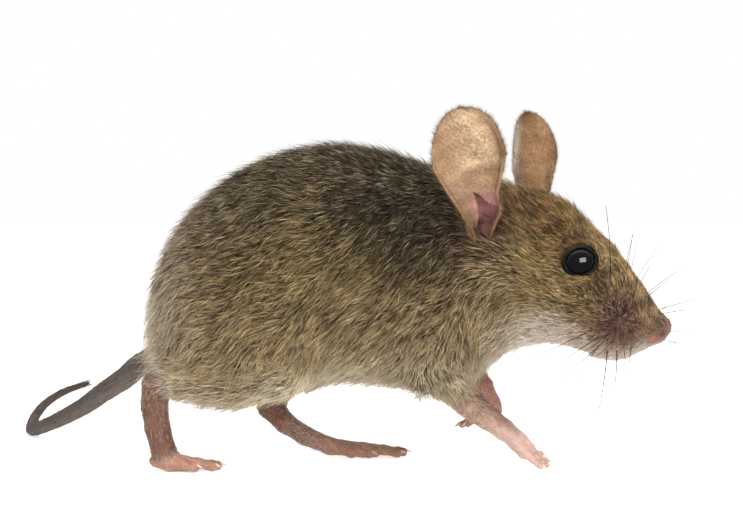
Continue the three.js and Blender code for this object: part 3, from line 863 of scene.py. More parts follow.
@dataclass(frozen=True)
class Tail:
    """A long tapered tail of overlapping rings of scales."""

    stops: tuple = (
        (-24.0, -0.4, 16.6), (-30.4, 1.0, 13.5), (-33.4, 5.0, 11.1), (-36.7, 11.0, 8.8), (-40.2, 18.0, 6.2),
        (-43.8, 25.0, 4.0), (-47.2, 31.5, 2.2), (-49.4, 37.0, 1.1), (-50.5, 42.5, 0.75), (-50.8, 48.0, 1.7),
        (-49.8, 53.5, 3.4), (-47.4, 59.0, 4.9), (-44.0, 64.0, 5.9),
    )
    root: float = 1.68
    tip: float = 0.42
    ring: float = 0.55
    sides: int = 18

    def line(self) -> tuple:
        """The tail's middle line, cut finely.

        Returns:
            Points, the way that it runs, the distance from the root and the radius.
        """
        dense = curve(np.array(self.stops), 60)
        gone = np.concatenate([[0], np.cumsum(np.linalg.norm(np.diff(dense, axis=0), axis=1))])
        s = np.arange(0, gone[-1], self.ring / 3)
        at = np.stack([np.interp(s, gone, dense[:, i]) for i in range(3)], -1)
        return at, unit(np.gradient(at, axis=0)), s, self.root + (self.tip - self.root) * s / gone[-1]

    def mesh(self) -> tuple:
        """The tail as a closed tube.

        Returns:
            Corners in mm and quads.
        """
        at, way, s, r = self.line()
        r = r * (1 - 0.07 * ((s / self.ring) % 1))
        left = self.ring * 8 - (s[-1] - s)
        r = r * np.sqrt(np.clip(1 - (left / (self.ring * 8)) ** 8 * (left > 0), 0.02, 1))
        side = unit(np.cross(way, [0, 0, 1]))
        up = np.cross(side, way)
        a = np.linspace(0, 2 * math.pi, self.sides, endpoint=False)[None, :, None]
        rings = at[:, None] + (np.cos(a) * side[:, None] + np.sin(a) * up[:, None]) * r[:, None, None]
        ends = [np.repeat(x[None, None], self.sides, 1) for x in (at[0], at[-1] + way[-1] * 0.1)]
        rings = np.concatenate([ends[0], rings, ends[1]])
        rings[..., 2] = np.maximum(rings[..., 2], FLOOR_GAP)
        return rings.reshape(-1, 3), grid_quads(len(rings), self.sides)


TAIL = Tail()


# ------------------------------------------------------------------ colours
class Tint(Enum):
    """Named colours of the animal, as sRGB hex."""

    BACK = "81735a"
    FLANK = "8d7853"
    FLANK_LOW = "9c8763"
    BELLY = "c2b194"
    SADDLE = "4b4337"
    RUMP = "b09a7b"
    BRIDGE = "c3a072"
    CROWN = "98764b"
    CHEEK = "9a8256"
    JAW = "e4ccb8"
    PAD = "7c5851"
    UNDERFUR = "35302b"
    TICK = "16110d"
    SKIN_PALE = "99715f"
    SKIN = "7c4f42"
    SKIN_DARK = "5f3c30"
    NOSE = "795950"
    NOSTRIL = "9c4641"
    LID = "15100e"
    EAR_IN = "94775a"
    # painted highlight on the hollow side of an ear
    EAR_PALE = "cdb490"
    EAR_FOLD = "7d6049"
    # pinkish skin of an ear's funnel, darkened as painted shade of the hollow
    EAR_DEEP = "8a5d5a"
    EAR_OUT = "937151"
    # the ear's brown outer skin on its rolled front rim, painted darker as shade
    EAR_RIM = "5e432c"
    TAIL_TOP = "52463f"
    TAIL_UNDER = "665850"
    HAIR_PALE = "e4d9c4"
    DOWN = "c09b82"
    PAW = "b7968a"
    HORN = "efe2d2"

    def rgb(self) -> np.ndarray:
        """The colour as three linear values."""
        return linear(self.value)


def paint(base: np.ndarray, tint: Tint, share: np.ndarray) -> np.ndarray:
    """Lays a tint over linear colours, one row and one share of it per point."""
    return mix(base, tint.rgb(), np.clip(share, 0, 1))


def near(p: np.ndarray, spot: np.ndarray, reach: float) -> np.ndarray:
    """A soft spot: 1 in its middle, falling to 0 beyond its reach in mm."""
    return np.exp(-(np.linalg.norm((p - np.array(spot)) / reach, axis=-1) ** 2))


@dataclass
class Markings:
    """The one pattern that both the skin and the coat are coloured by."""

    body: Body
    pad: tuple = (33.4, 4.2, 19.8)  # middle of a whisker pad, on the spine
    roots: tuple = (32.8, 4.5, 20.2)  # middle of the whiskers' roots
    fluff: tuple = (19.0, 0.5, 36.5)  # loose pale hair between the ears
    darkest: float = 0.002

    def coat(self, p: np.ndarray) -> tuple:
        """Colour of the hair and how much black ticking there is.

        Args:
            p: points in mm.
        Returns:
            Linear colours, and the share of dark hairs.
        """
        x = p[:, 0]
        _, height, _ = self.body.station(p)
        height = height + 0.03 * waves(p, 9, 3) + 0.02 * waves(p, 3, 4)
        head = smooth(13, 20, x)
        saddle = np.exp(-(((x - 4) / 10) ** 2) - ((height - 0.72) / 0.27) ** 2)
        c = np.repeat(Tint.FLANK.rgb()[None], len(p), 0)
        c = paint(c, Tint.FLANK_LOW, smooth(0.5, 0.22, height) * (1 - head))
        c = paint(c, Tint.BACK, smooth(0.55, 0.95, height) * (1 - head) * 0.9)
        c = paint(c, Tint.SADDLE, 0.6 * saddle)
        c = paint(c, Tint.RUMP, smooth(-15, -26, x) * smooth(0.1, 0.35, height))
        c = paint(c, Tint.CHEEK, head * 0.9)
        c = paint(c, Tint.CROWN, head * smooth(0.5, 0.85, height) * (0.15 + 0.8 * smooth(33, 26, x)))
        c = paint(c, Tint.BELLY, smooth(0.24, 0.04, height) * (1 - 0.7 * head))
        for side in SIDES:
            c = paint(c, Tint.BACK, 0.9 * near(p, (9.0, side * 7.6, 13.0), 5.5))  # elbow
        c = paint(c, Tint.JAW, head * smooth(0.36, 0.08, height))
        # pale golden hair on the bridge of the nose, partly painted light on its upward face
        c = paint(c, Tint.BRIDGE, 0.85 * smooth(27, 32, x) * smooth(0.5, 0.8, height))
        c = paint(c, Tint.RUMP, 0.4 * np.exp(-(((x - 16) / 4) ** 2)) * smooth(0.7, 0.5, height))  # collar
        c = paint(c, Tint.PAD, 0.75 * near(p, SPINE.place(38.4, 0, 18.6), 2.0))
        for ear in EARS:
            behind_eye = 0.4 * near(p, SPINE.place(20.5, ear.side * 8.0, 29.6), 1.6)
            c = paint(c, Tint.PAD, 0.9 * near(p, SPINE.mirrored(self.pad, ear.side), 3.9))
            c = paint(c, Tint.PAD, 0.9 * near(p, ear.pocket(), 2.4) + behind_eye)
        # pale at the rump's end: pale hair, partly painted backlight along its outline; and the pale fluff
        # between the ears
        c = paint(c, Tint.HAIR_PALE, 0.7 * smooth(-25, -30, x) + 0.45 * near(p, self.fluff, 2.6))
        c *= (1 + 0.06 * waves(p, 5, 5) + 0.05 * waves(p, 2, 6))[:, None]
        ticks = smooth(0.3, 0.9, height) * (0.5 - 0.1 * head)
        ticks = ticks + 0.15 * smooth(0.12, 0.4, height) * (1 + head) + 0.3 * saddle
        return np.clip(c, self.darkest, 1), ticks

    def foot(self, p: np.ndarray, leg: Leg, bare: np.ndarray) -> np.ndarray:
        """Colour of a leg's bare skin.

        Args:
            p: points in mm.
            leg: which leg.
            bare: how bare it is there, from 0 to 1.
        Returns:
            Linear colours.
        """
        c = np.repeat(Tint.SKIN.rgb()[None], len(p), 0)
        c = paint(c, Tint.SKIN_DARK, 0.45 * smooth(0.95, 0.3, bare))
        c = paint(c, Tint.SKIN_PALE, 0.95 * smooth(0.93, 1.0, bare))
        # reddish at the ankle; the far forepaw is painted redder and less pale than the near one, painted
        # shade under the body
        c = paint(c, Tint.NOSTRIL, 0.35 * smooth(0.75, 0.6, bare) + 0.3 * (leg.name == "fore_left"))
        if not leg.hind:
            c = paint(c, Tint.PAW, smooth(0.2, 0.95, bare) * (0.25 if leg.medial < 0 else 0.9))
        if leg.name == "fore_right":
            line = np.array(leg.stops)
            above = p[:, 2] - np.interp(p[:, 0], line[:, 0], line[:, 2])
            streak = 0.75 * smooth(0.0, 1.2, above) * smooth(20.5, 17.5, p[:, 0])
            c = paint(c, Tint.SKIN_DARK, streak)
        return c * (1 + 0.1 * waves(p, 1.2, 8) + 0.07 * waves(p, 0.5, 9))[:, None]

    def skin(self, p: np.ndarray) -> np.ndarray:
        """Colour of the skin of the body, legs and head.

        Args:
            p: points in mm.
        Returns:
            Linear colours.
        """
        # painted shade: under the coat the skin takes the coat's colour at 0.3, for the shade deep in the fur
        c = self.coat(p)[0] * 0.3
        for leg in LEGS:
            d, _, bare = leg.survey(p)
            c = mix(c, self.foot(p, leg, bare), smooth(0.9, 0.3, d) * smooth(0.02, 0.3, bare))
        c = paint(c, Tint.NOSE, 1.2 * near(p, SPINE.place(38.2, 0, 18.8), 1.8))
        c = paint(c, Tint.SKIN_PALE, 0.9 * near(p, SPINE.place(31.0, 0, 14.6), 5.0))  # chin
        for ear in EARS:
            side = ear.side
            c = paint(c, Tint.PAD, 0.8 * near(p, SPINE.place(33.0, side * 4.0, 19.2), 3.6))
            c = paint(c, Tint.TICK, 0.75 * near(p, SPINE.mirrored(self.roots, side), 1.8))
            c = paint(c, Tint.NOSTRIL, 1.2 * near(p, SPINE.place(37.0, side * 1.6, 17.5), 0.65))
            c = paint(c, Tint.SKIN, near(p, ear.pocket(), 2.4))
        for eye in EYES:
            c = paint(c, Tint.LID, smooth(1.1, 1.0, eye.reach(p, 2.38, 1.95)))
        for ear in EARS:
            # the bottom of each ear's funnel on the head: pinkish skin, darkened as painted shade of the
            # hollow
            c = paint(c, Tint.EAR_DEEP, 1.7 * near(p, ear.mouth(), 2.2))
        return np.clip(c, self.darkest, 1)

    def ear(self, p: np.ndarray, ear: Ear, inner: np.ndarray) -> np.ndarray:
        """Colour of an ear's skin.

        Args:
            p: points in mm.
            ear: which ear.
            inner: 1 on the hollow side.
        Returns:
            Linear colours.
        """
        axis, _, side = ear.axes()
        up = (p - np.array(ear.root)) @ axis / ear.length
        front = (p - np.array(ear.root)) @ side * -ear.side / 5.0
        rng = np.random.default_rng(SEED + 5)
        c = paint(np.repeat(Tint.EAR_OUT.rgb()[None], len(p), 0), Tint.EAR_IN, inner)
        # painted highlight: a pale sheen on the knob and on the ridge above it, where light falls
        band = np.exp(-(((front - 0.5 + 1.15 * (up - 0.56)) / 0.3) ** 2)) * smooth(0.5, 0.6, up)
        band += np.exp(-(((up - 0.58) / 0.06) ** 2 + ((front + 0.1) / 0.4) ** 2))
        c = paint(c, Tint.EAR_PALE, inner * np.clip(band, 0, 1) * rng.uniform(0.1, 0.75, len(p)))
        c = paint(c, Tint.EAR_FOLD, inner * (smooth(0.8, 0.55, up) * 0.3 + smooth(0.54, 0.42, up) * 0.5))
        # the funnel, its pinkish skin darkened as painted shade of the hollow, with a pale ridge in it and a
        # pale lip over it, both painted highlight
        lip = up + 0.08 * front
        c = paint(c, Tint.EAR_DEEP, inner * smooth(0.4, 0.35, lip) * smooth(-0.3, -0.1, front))
        # painted highlight along the ridge in the funnel and along the edge of the lip
        ridge = np.exp(-(((front + 0.12) / 0.09) ** 2)) * smooth(0.42, 0.3, up)
        ridge = ridge + 0.7 * np.exp(-(((lip - 0.4) / 0.014) ** 2))
        c = paint(c, Tint.SKIN_PALE, inner * np.clip(ridge, 0, 1))
        # the rolled front rim: the ear's brown outer skin, painted darker as shade
        c = paint(c, Tint.EAR_RIM, smooth(0.7, 0.92, front) * 0.9)
        # painted highlight: a pale crescent of light along the far ear's rear edge
        if ear.side > 0:
            c = paint(c, Tint.HAIR_PALE, smooth(0.0, -0.6, front) * smooth(0.45, 0.7, up))
        grain = 1 + 0.1 * waves(p, 2.5, 21) + 0.1 * waves(p, 0.6, 22) + 0.16 * rng.normal(size=len(p))
        return np.clip(c * grain[:, None], self.darkest, 1)

    def tail(self, p: np.ndarray) -> np.ndarray:
        """Colour of the tail's skin, darker above than below.

        Args:
            p: points in mm.
        Returns:
            Linear colours.
        """
        at, _, _, r = TAIL.line()
        step = len(at) // 150
        closest = np.argmin(np.linalg.norm(p[:, None] - at[None, ::step], axis=-1), axis=1) * step
        above = (p[:, 2] - at[closest, 2]) / r[closest]
        c = paint(np.repeat(Tint.TAIL_TOP.rgb()[None], len(p), 0), Tint.TAIL_UNDER, smooth(0.1, -0.8, above))
        return np.clip(c * (1 + 0.08 * waves(p, 1.5, 31))[:, None], self.darkest, 1)


# ------------------------------------------------------------------ finishes
def node(
    tree: bpy.types.NodeTree, kind: str, inputs: dict | None = None, **settings: object
) -> bpy.types.Node:
    """Adds one shader node with its settings and links.

    Args:
        tree: what it is added to.
        kind: the node's type.
        inputs: input name or number to a value or to another node's output.
        settings: properties of the node.
    Returns:
        The node.
    """
    made = tree.nodes.new(kind)
    for name, value in settings.items():
        setattr(made, name, value)
    for name, value in (inputs or {}).items():
        if isinstance(value, bpy.types.NodeSocket):
            tree.links.new(value, made.inputs[name])
        else:
            made.inputs[name].default_value = value
    return made


@dataclass(frozen=True)
class Finish:
    """A surface coloured by the tint painted on its mesh, with fine grain over it.

    grain is the size in mm of the finest pattern, relief how deep in mm it is, contrast how much it
    lightens and darkens the tint, and glow how much light a surface adds of its own.
    """

    name: str
    roughness: float
    grain: float
    relief: float
    specular: float = 0.5
    coat: float = 0.0
    contrast: float = 0.15
    glow: float = 0.0

    def make(self) -> bpy.types.Material:
        """Builds the material.

        Returns:
            The material.
        """
        made = bpy.data.materials.new(self.name)
        made.use_nodes = True
        tree = made.node_tree
        tree.nodes.clear()
        tint = node(tree, "ShaderNodeAttribute", attribute_name="tint")
        place = node(tree, "ShaderNodeTexCoord")
        speckle = node(
            tree, "ShaderNodeTexNoise",
            {"Vector": place.outputs["Object"], "Scale": 1 / (self.grain * MM), "Detail": 2.0},
        )
        shade = node(
            tree, "ShaderNodeMapRange",
            {"Value": speckle.outputs["Fac"], "From Min": 0.3, "From Max": 0.7,
             "To Min": 1 - self.contrast, "To Max": 1 + self.contrast},
        )
        colour = node(
            tree, "ShaderNodeVectorMath", {0: tint.outputs["Color"], 1: shade.outputs["Result"]},
            operation="MULTIPLY",
        )
        surface = node(
            tree, "ShaderNodeBsdfPrincipled",
            {"Base Color": colour.outputs["Vector"], "Roughness": self.roughness,
             "Specular IOR Level": self.specular, "Coat Weight": self.coat,
             "Emission Color": (1, 1, 1, 1), "Emission Strength": self.glow},
        )
        if self.relief:
            bump = node(
                tree, "ShaderNodeBump",
                {"Height": speckle.outputs["Fac"], "Distance": self.relief * MM, "Strength": 0.8},
            )
            tree.links.new(bump.outputs["Normal"], surface.inputs["Normal"])
        node(tree, "ShaderNodeOutputMaterial", {"Surface": surface.outputs["BSDF"]})
        return made


# Grown keratin hair: its scales, a few thousandths of a mm long and too fine to show, give a soft, low
# gloss. The grain drawn is 0.4 mm, the size of a lock's tip.
HAIR = Finish("hair", roughness=0.6, grain=0.4, relief=0, specular=0.2, contrast=0.06)
# Bare skin, thin and slightly moist: pores and creases about 0.16 mm apart break up a weak gloss.
SKIN = Finish("skin", roughness=0.6, grain=0.16, relief=0.05, specular=0.25)
# Cornea, wet and clear over a black iris: as smooth as glass, it mirrors the lamp as one sharp patch.
CORNEA = Finish("cornea", roughness=0.03, grain=1.5, relief=0, specular=0.5, coat=0.2)
# Grown horn of the claws, polished by walking: smoother than skin, with a brighter edge.
HORN = Finish("horn", roughness=0.35, grain=0.2, relief=0)
# Board, rolled with matt white paint: the glow keeps it pale to its far edge, with soft shadows under
# the feet.
BOARD = Finish("pale_floor", roughness=0.9, grain=8.0, relief=0, specular=0.1, contrast=0.01, glow=0.65)


# ------------------------------------------------------------------ meshes
def row_frame(p: np.ndarray) -> np.ndarray:
    """Moves points from the mouse's own frame in mm to the row frame in metres.

    Args:
        p: points in mm.
    Returns:
        Points in metres.
    """
    low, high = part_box("eye_right")
    shift = (np.array(low) + np.array(high)) / 2 / MM - EYES[0].centre()
    shift[2] = 0
    return (p + shift) * MM


def build_object(
    name: str, points: np.ndarray, faces: np.ndarray, tint: np.ndarray, material: bpy.types.Material,
    uv: np.ndarray | None = None,
) -> bpy.types.Object:
    """Makes one object.

    Args:
        name: its name.
        points: corners in mm.
        faces: corner numbers, three or four to a face.
        tint: a linear colour per corner point.
        material: its finish.
        uv: a place on the unwrap per corner point.
    Returns:
        The object, already in the scene.
    """
    mesh = bpy.data.meshes.new(name)
    sides = faces.shape[1]
    mesh.vertices.add(len(points))
    mesh.vertices.foreach_set("co", row_frame(points).astype(np.float32).ravel())
    mesh.loops.add(faces.size)
    mesh.loops.foreach_set("vertex_index", faces.astype(np.int32).ravel())
    mesh.polygons.add(len(faces))
    mesh.polygons.foreach_set("loop_start", np.arange(0, faces.size, sides, dtype=np.int32))
    mesh.polygons.foreach_set("use_smooth", np.ones(len(faces), bool))
    mesh.update(calc_edges=True)
    layer = mesh.color_attributes.new("tint", "FLOAT_COLOR", "POINT")
    opaque = np.concatenate([tint, np.ones((len(tint), 1))], 1)
    layer.data.foreach_set("color", opaque.astype(np.float32).ravel())
    if uv is not None:
        chart = mesh.uv_layers.new(name="OFBake")
        chart.data.foreach_set("uv", uv[faces.ravel()].astype(np.float32).ravel())
    mesh.materials.append(material)
    made = bpy.data.objects.new(name, mesh)
    bpy.context.scene.collection.objects.link(made)
    return made


@dataclass
class Skin:
    """The animal's one skin, with the ears and tail grown on."""

    body: Body
    markings: Markings
    crease: float = math.radians(50)  # a sharper edge than this isn't smoothed over

    def __post_init__(self) -> None:
        """Models and colours every part."""
        self.points, self.quads = self.body.build()
        self.parts = [(self.points, self.quads, self.markings.skin(self.points))]
        for ear in EARS:
            points, quads, inner = ear.mesh()
            self.parts.append((points, quads, self.markings.ear(points, ear, inner)))
        points, quads = TAIL.mesh()
        self.parts.append((points, quads, self.markings.tail(points)))

    def build(self, material: bpy.types.Material) -> bpy.types.Object:
        """Unites the parts to one closed skin.

        Args:
            material: its finish.
        Returns:
            The object.
        """
        objects = [build_object(f"skin_part_{i}", *part, material) for i, part in enumerate(self.parts)]
        for part in objects:
            form = bmesh.new()
            form.from_mesh(part.data)
            bmesh.ops.remove_doubles(form, verts=form.verts, dist=2e-6)
            bmesh.ops.dissolve_degenerate(form, edges=form.edges, dist=1e-6)
            bmesh.ops.recalc_face_normals(form, faces=form.faces)
            form.to_mesh(part.data)
            form.free()
        skin = objects[0]
        for other in objects[1:]:
            union = skin.modifiers.new("unite", "BOOLEAN")
            union.operation, union.object, union.solver = "UNION", other, "MANIFOLD"
        made = bpy.data.meshes.new_from_object(skin.evaluated_get(bpy.context.evaluated_depsgraph_get()))
        for o in objects:
            bpy.data.objects.remove(o)
        made.name = "skin"
        made.set_sharp_from_angle(angle=self.crease)
        self.mend_tint(made)
        skin = bpy.data.objects.new("skin", made)
        bpy.context.scene.collection.objects.link(skin)
        LOG.info("skin: %d points", len(made.vertices))
        return skin

    @staticmethod
    def mend_tint(mesh: bpy.types.Mesh) -> None:
        """Gives the corners that uniting made along the joins the colour of their neighbours.

        Args:
            mesh: the united skin.
        """
        count = len(mesh.vertices)
        tint, at = np.empty(count * 4, np.float32), np.empty(count * 3, np.float32)
        mesh.color_attributes["tint"].data.foreach_get("color", tint)
        mesh.vertices.foreach_get("co", at)
        tint, at = tint.reshape(-1, 4), at.reshape(-1, 3)
        known = ((tint[:, :3] > 0.001) & (tint[:, :3] < 0.9)).all(1)
        LOG.info("skin: %d corners along the joins", count - known.sum())
        tint[~known] = tint[known][nearest(at[known], at[~known])]
        mesh.color_attributes["tint"].data.foreach_set("color", tint.ravel())


# ------------------------------------------------------------------ coat
@dataclass(frozen=True)
class Lie:
    """The way that the coat lies round one place on the animal's side: place and way as (x, z)."""

    place: tuple
    way: tuple


LIES = (
    Lie((-27, 31), (-0.78, -0.62)), Lie((-27, 20), (-0.65, -0.76)), Lie((-15, 40), (-0.95, -0.3)),
    Lie((-5, 42), (-1, -0.2)), Lie((6, 40), (-1, -0.25)), Lie((-14, 27), (-0.83, -0.56)),
    Lie((0, 28), (-0.8, -0.6)), Lie((9, 28), (-0.62, -0.78)), Lie((14, 22), (-0.4, -0.92)),
    Lie((-18, 18), (-0.8, -0.6)), Lie((-14, 11), (-0.7, -0.7)), Lie((0, 16), (-0.72, -0.7)),
    Lie((0, 11), (-0.95, -0.3)), Lie((9, 14), (-0.5, -0.86)), Lie((21, 36), (-0.45, 0.9)),
    Lie((29, 32), (-0.65, 0.76)), Lie((34, 26), (-0.6, 0.8)), Lie((24, 24), (-0.88, 0.46)),
    Lie((20, 28), (-0.85, 0.5)), Lie((17, 22), (-0.75, -0.66)), Lie((28, 18), (-0.99, 0.1)),
    Lie((36, 19), (-0.8, 0.6)),
)


@dataclass(frozen=True)
class Hair:
    """One kind of tuft: how it gathers in locks, strays and varies, and whether it bends over."""

    gather: float
    lock: int
    stray: float
    mottle: float
    bent: bool
    settled: bool


BODY_HAIR = Hair(0.6, 8, 0.3, 0.2, True, True)
FACE_HAIR = Hair(0.55, 6, 0.25, 0.2, True, True)
SHORT_HAIR = Hair(0.2, 4, 0.25, 0.1, False, True)
GUARD_HAIR = Hair(0.0, 1, 0.3, 0.0, True, False)
EAR_HAIR = Hair(0.0, 1, 0.2, 0.1, False, False)
TAIL_HAIR = Hair(0.0, 1, 0.15, 0.1, False, False)
PATCH = 0.003  # width of each tuft's place on the unwrap
BODY_TUFTS = 190_000
GUARD_TUFTS = 18_000
EAR_TUFTS = 14_000
TAIL_TUFTS = 5_000


@dataclass
class Roots:
    """Where tufts grow: places, the skin's own way out, the way they lie, and what they look like."""

    at: np.ndarray
    out: np.ndarray
    way: np.ndarray
    length: np.ndarray
    rise: np.ndarray
    width: np.ndarray
    shade: np.ndarray
    tip: np.ndarray
    uv: np.ndarray

    def pick(self, keep: np.ndarray) -> "Roots":
        """Those of the roots that are kept."""
        return Roots(*(getattr(self, f)[keep] for f in self.__dataclass_fields__))


def scatter(
    points: np.ndarray, quads: np.ndarray, density: Form, total: int, rng: np.random.Generator
) -> tuple:
    """Sows places over a surface.

    Args:
        points: its corners in mm.
        quads: its faces.
        density: a function from face middles to the relative number of tufts per square mm.
        total: how many are sown in all.
        rng: the source of chance.
    Returns:
        Places and the surface's outward directions.
    """
    corner = points[quads]
    cross = np.cross(corner[:, 2] - corner[:, 0], corner[:, 3] - corner[:, 1])
    normal = np.zeros_like(points)
    for i in range(4):
        np.add.at(normal, quads[:, i], cross)
    normal = unit(normal)
    want = np.linalg.norm(cross, axis=1) * density(corner.mean(1))
    want *= total / want.sum()
    count = np.floor(want + rng.random(len(want))).astype(int)
    which = np.repeat(np.arange(len(quads)), count)
    u, v = rng.random((2, len(which), 1))
    q = quads[which]
    spread = []
    for x in (points, normal):
        near_edge, far_edge = x[q[:, 0]] * (1 - u) + x[q[:, 1]] * u, x[q[:, 3]] * (1 - u) + x[q[:, 2]] * u
        spread.append(near_edge * (1 - v) + far_edge * v)
    return spread[0], unit(spread[1])


def nearest(spots: np.ndarray, p: np.ndarray) -> np.ndarray:
    """The number of the nearest spot to each point.

    Args:
        spots: the spots.
        p: the points.
    Returns:
        One number per point.
    """
    tree = kdtree.KDTree(len(spots))
    for i, s in enumerate(spots):
        tree.insert(s, i)
    tree.balance()
    return np.array([tree.find(x)[1] for x in p])


@dataclass
class Coat:
    """Hair of the whole animal as solid tufts."""

    body: Body
    skin: Skin
    markings: Markings
    material: bpy.types.Material

    def __post_init__(self) -> None:
        """Starts the coat's own source of chance."""
        self.rng = np.random.default_rng(SEED)

    def lie(self, p: np.ndarray, out: np.ndarray) -> np.ndarray:
        """The way that the hair lies on the body.

        Args:
            p: roots in mm.
            out: the skin's outward directions.
        Returns:
            Directions along the skin.
        """
        total = np.zeros((len(p), 2))
        for lie in LIES:
            gap = np.hypot(p[:, 0] - lie.place[0], p[:, 2] - lie.place[1])
            total += unit(np.array(lie.way))[None] * (1 / (gap**2 + 6) ** 1.5)[:, None]
        way = unit(np.stack([total[:, 0], 0 * gap, total[:, 1]], -1))
        way = way + 0.22 * np.stack([waves(p, 7, 41), waves(p, 7, 42), waves(p, 7, 43)], -1)
        for side in SIDES:
            away = p - SPINE.place(32.6, side * 4.5, 20.2)
            gap = np.linalg.norm(away, axis=1)
            way += 1.9 * unit(away) * (smooth(0.2, 1.6, gap) * np.exp(-((gap / 3.8) ** 2)))[:, None]
        for ear in EARS:
            before = near(p, ear.brow(), 3.2)[:, None]
            way += 2.0 * before * np.array([-0.45, 0.35 * ear.side, 0.85])
        for leg in LEGS:
            d, along, _ = leg.survey(p)
            on = smooth(1.0, 0.1, d)
            way = mix(way, along, on)
        return unit(way - out * (way * out).sum(-1, keepdims=True))

    def bareness(self, p: np.ndarray) -> tuple:
        """How far up a leg points are, and how bare.

        Args:
            p: points in mm.
        Returns:
            1 on a leg, and its bareness there.
        """
        limb, bare = np.zeros(len(p)), np.zeros(len(p))
        for leg in LEGS:
            d, _, bareness = leg.survey(p)
            on = smooth(1.2, 0.3, d)
            limb, bare = np.maximum(limb, on), np.maximum(bare, on * bareness)
        return limb, bare

    def density(self, p: np.ndarray) -> np.ndarray:
        """How closely the coat grows.

        Args:
            p: points on the skin in mm.
        Returns:
            Relative numbers of tufts per square mm.
        """
        limb, bare = self.bareness(p)
        wanted = 1 + 1.6 * smooth(15, 24, p[:, 0]) + 1.2 * smooth(28, 34, p[:, 0])
        wanted *= 1 - 0.6 * near(p, SPINE.place(30.0, 0, 14.4), 5.0)
        on_leg = np.interp(bare, (0, 0.3, 0.8, 0.97, 1), (1.3, 1.6, 1.3, 0.5, 0.1))
        wanted *= 1 - limb + on_leg * limb
        for eye in EYES:
            wanted = wanted * smooth(1.0, 1.05, eye.reach(p, 2.25, 1.92))
        wanted = wanted * (1 - np.clip(1.4 * near(p, SPINE.place(38.9, 0, 17.9), 1.05), 0, 1))
        for ear in EARS:
            nostril = SPINE.place(37.2, ear.side * 1.5, 17.5)
            wanted = wanted * (1 - np.clip(1.5 * near(p, nostril, 0.8), 0, 1))
            wanted = wanted * (1 - 0.8 * near(p, ear.pocket(), 2.1))
        for ear in EARS:
            wanted = wanted * (1 - np.clip(1.5 * near(p, ear.mouth(), 1.7), 0, 1))
        return wanted * (p[:, 2] > 0.3)

    def sizes(self, at: np.ndarray, limb: np.ndarray, bare: np.ndarray) -> tuple:
        """How long, how raised and how wide the tufts are: longest on the rump, smallest on face and feet.

        Args:
            at: roots in mm.
            limb: 1 on a leg.
            bare: how bare the leg is.
        Returns:
            Lengths, rises and widths in mm.
        """
        rng, n, x = self.rng, len(at), at[:, 0]
        _, height, coat = self.body.station(at)
        length = np.interp(x, (-30, -10, 8, 16, 22, 28, 33, 37), (3.4, 3.1, 2.9, 2.5, 1.9, 1.45, 1.1, 0.7))
        length *= 1 - 0.25 * smooth(0.5, 0.9, height) * smooth(20, 10, x)
        length *= 1 - limb * np.interp(bare, (0, 0.3, 0.7, 1), (0.2, 0.55, 0.72, 0.8))
        brow = sum(near(at, ear.brow(), 3.2) for ear in EARS)
        hock = near(at, (-27.0, -9.5, 11.5), 3.5)
        pocket = sum(near(at, ear.pocket(), 2.2) for ear in EARS) + hock
        fluff = near(at, self.markings.fluff, 2.6)
        length *= (1 + 0.7 * brow + 0.5 * fluff - 0.5 * pocket) * rng.uniform(0.7, 1.25, n)
        rise = np.maximum(coat, 0.4) * (1 - limb * np.interp(bare, (0, 0.3, 0.8, 1), (0.25, 0.6, 0.8, 0.85)))
        loose = rng.random(n) < 0.22
        lifted = 1 + 0.9 * brow + fluff + 0.3 * smooth(20, 26, x)
        rise *= rng.uniform(0.35, 1.05, n) * (1 + 0.45 * loose) * lifted
        rise = np.minimum(rise, length * (0.5 + 0.3 * loose))
        width = np.interp(x, (10, 20, 30, 36), (0.17, 0.13, 0.1, 0.07))
        width = width * (1 - 0.5 * bare) * rng.uniform(0.6, 1.3, n)
        return length, rise, width * (1 - 0.45 * loose)

    def tones(self, at: np.ndarray, out: np.ndarray, limb: np.ndarray, bare: np.ndarray) -> tuple:
        """The colours of the tufts, at the root and at the tip.

        Args:
            at: roots in mm.
            out: the skin's outward directions.
            limb: 1 on a leg.
            bare: how bare the leg is.
        Returns:
            Two rows of linear colours.
        """
        rng, n, x = self.rng, len(at), at[:, 0]
        shade, ticks = self.markings.coat(at)
        down = limb * smooth(0.25, 0.65, bare)
        streak = 0.15 + 0.75 * smooth(0.2, 0.7, out[:, 2]) * smooth(21, 18, x)
        dark = (rng.random(n) < np.where(x < 5, 0.85, streak))[:, None]
        shade = mix(shade, np.where(dark, Tint.SKIN_DARK.rgb(), Tint.DOWN.rgb()), 0.85 * down)
        shade = mix(shade, Tint.HAIR_PALE.rgb(), limb * smooth(0.88, 0.96, bare))
        shade *= (1 + (0.12 - 0.06 * smooth(15, 22, x)) * waves(at, 1.7, 45))[:, None]
        ticks = rng.random(n) < ticks * (1 + 0.3 * waves(at, 2.2, 44)) * (1 - down)
        pale = shade * rng.uniform(1.15, 2.6, (n, 1))
        tip = np.where(ticks[:, None], Tint.TICK.rgb() + shade * 0.12, pale)
        paler = (rng.random(n) < 0.06)[:, None]
        tip = np.where(paler, mix(tip, Tint.HAIR_PALE.rgb(), np.full(n, 0.6)), tip)
        # middles darker than the tips, by chance per tuft: agouti banding, deepened as painted shade in the
        # gaps between locks
        return shade * np.where(ticks, 0.6, 1.0)[:, None] * rng.uniform(0.3, 1.0, (n, 1)), tip

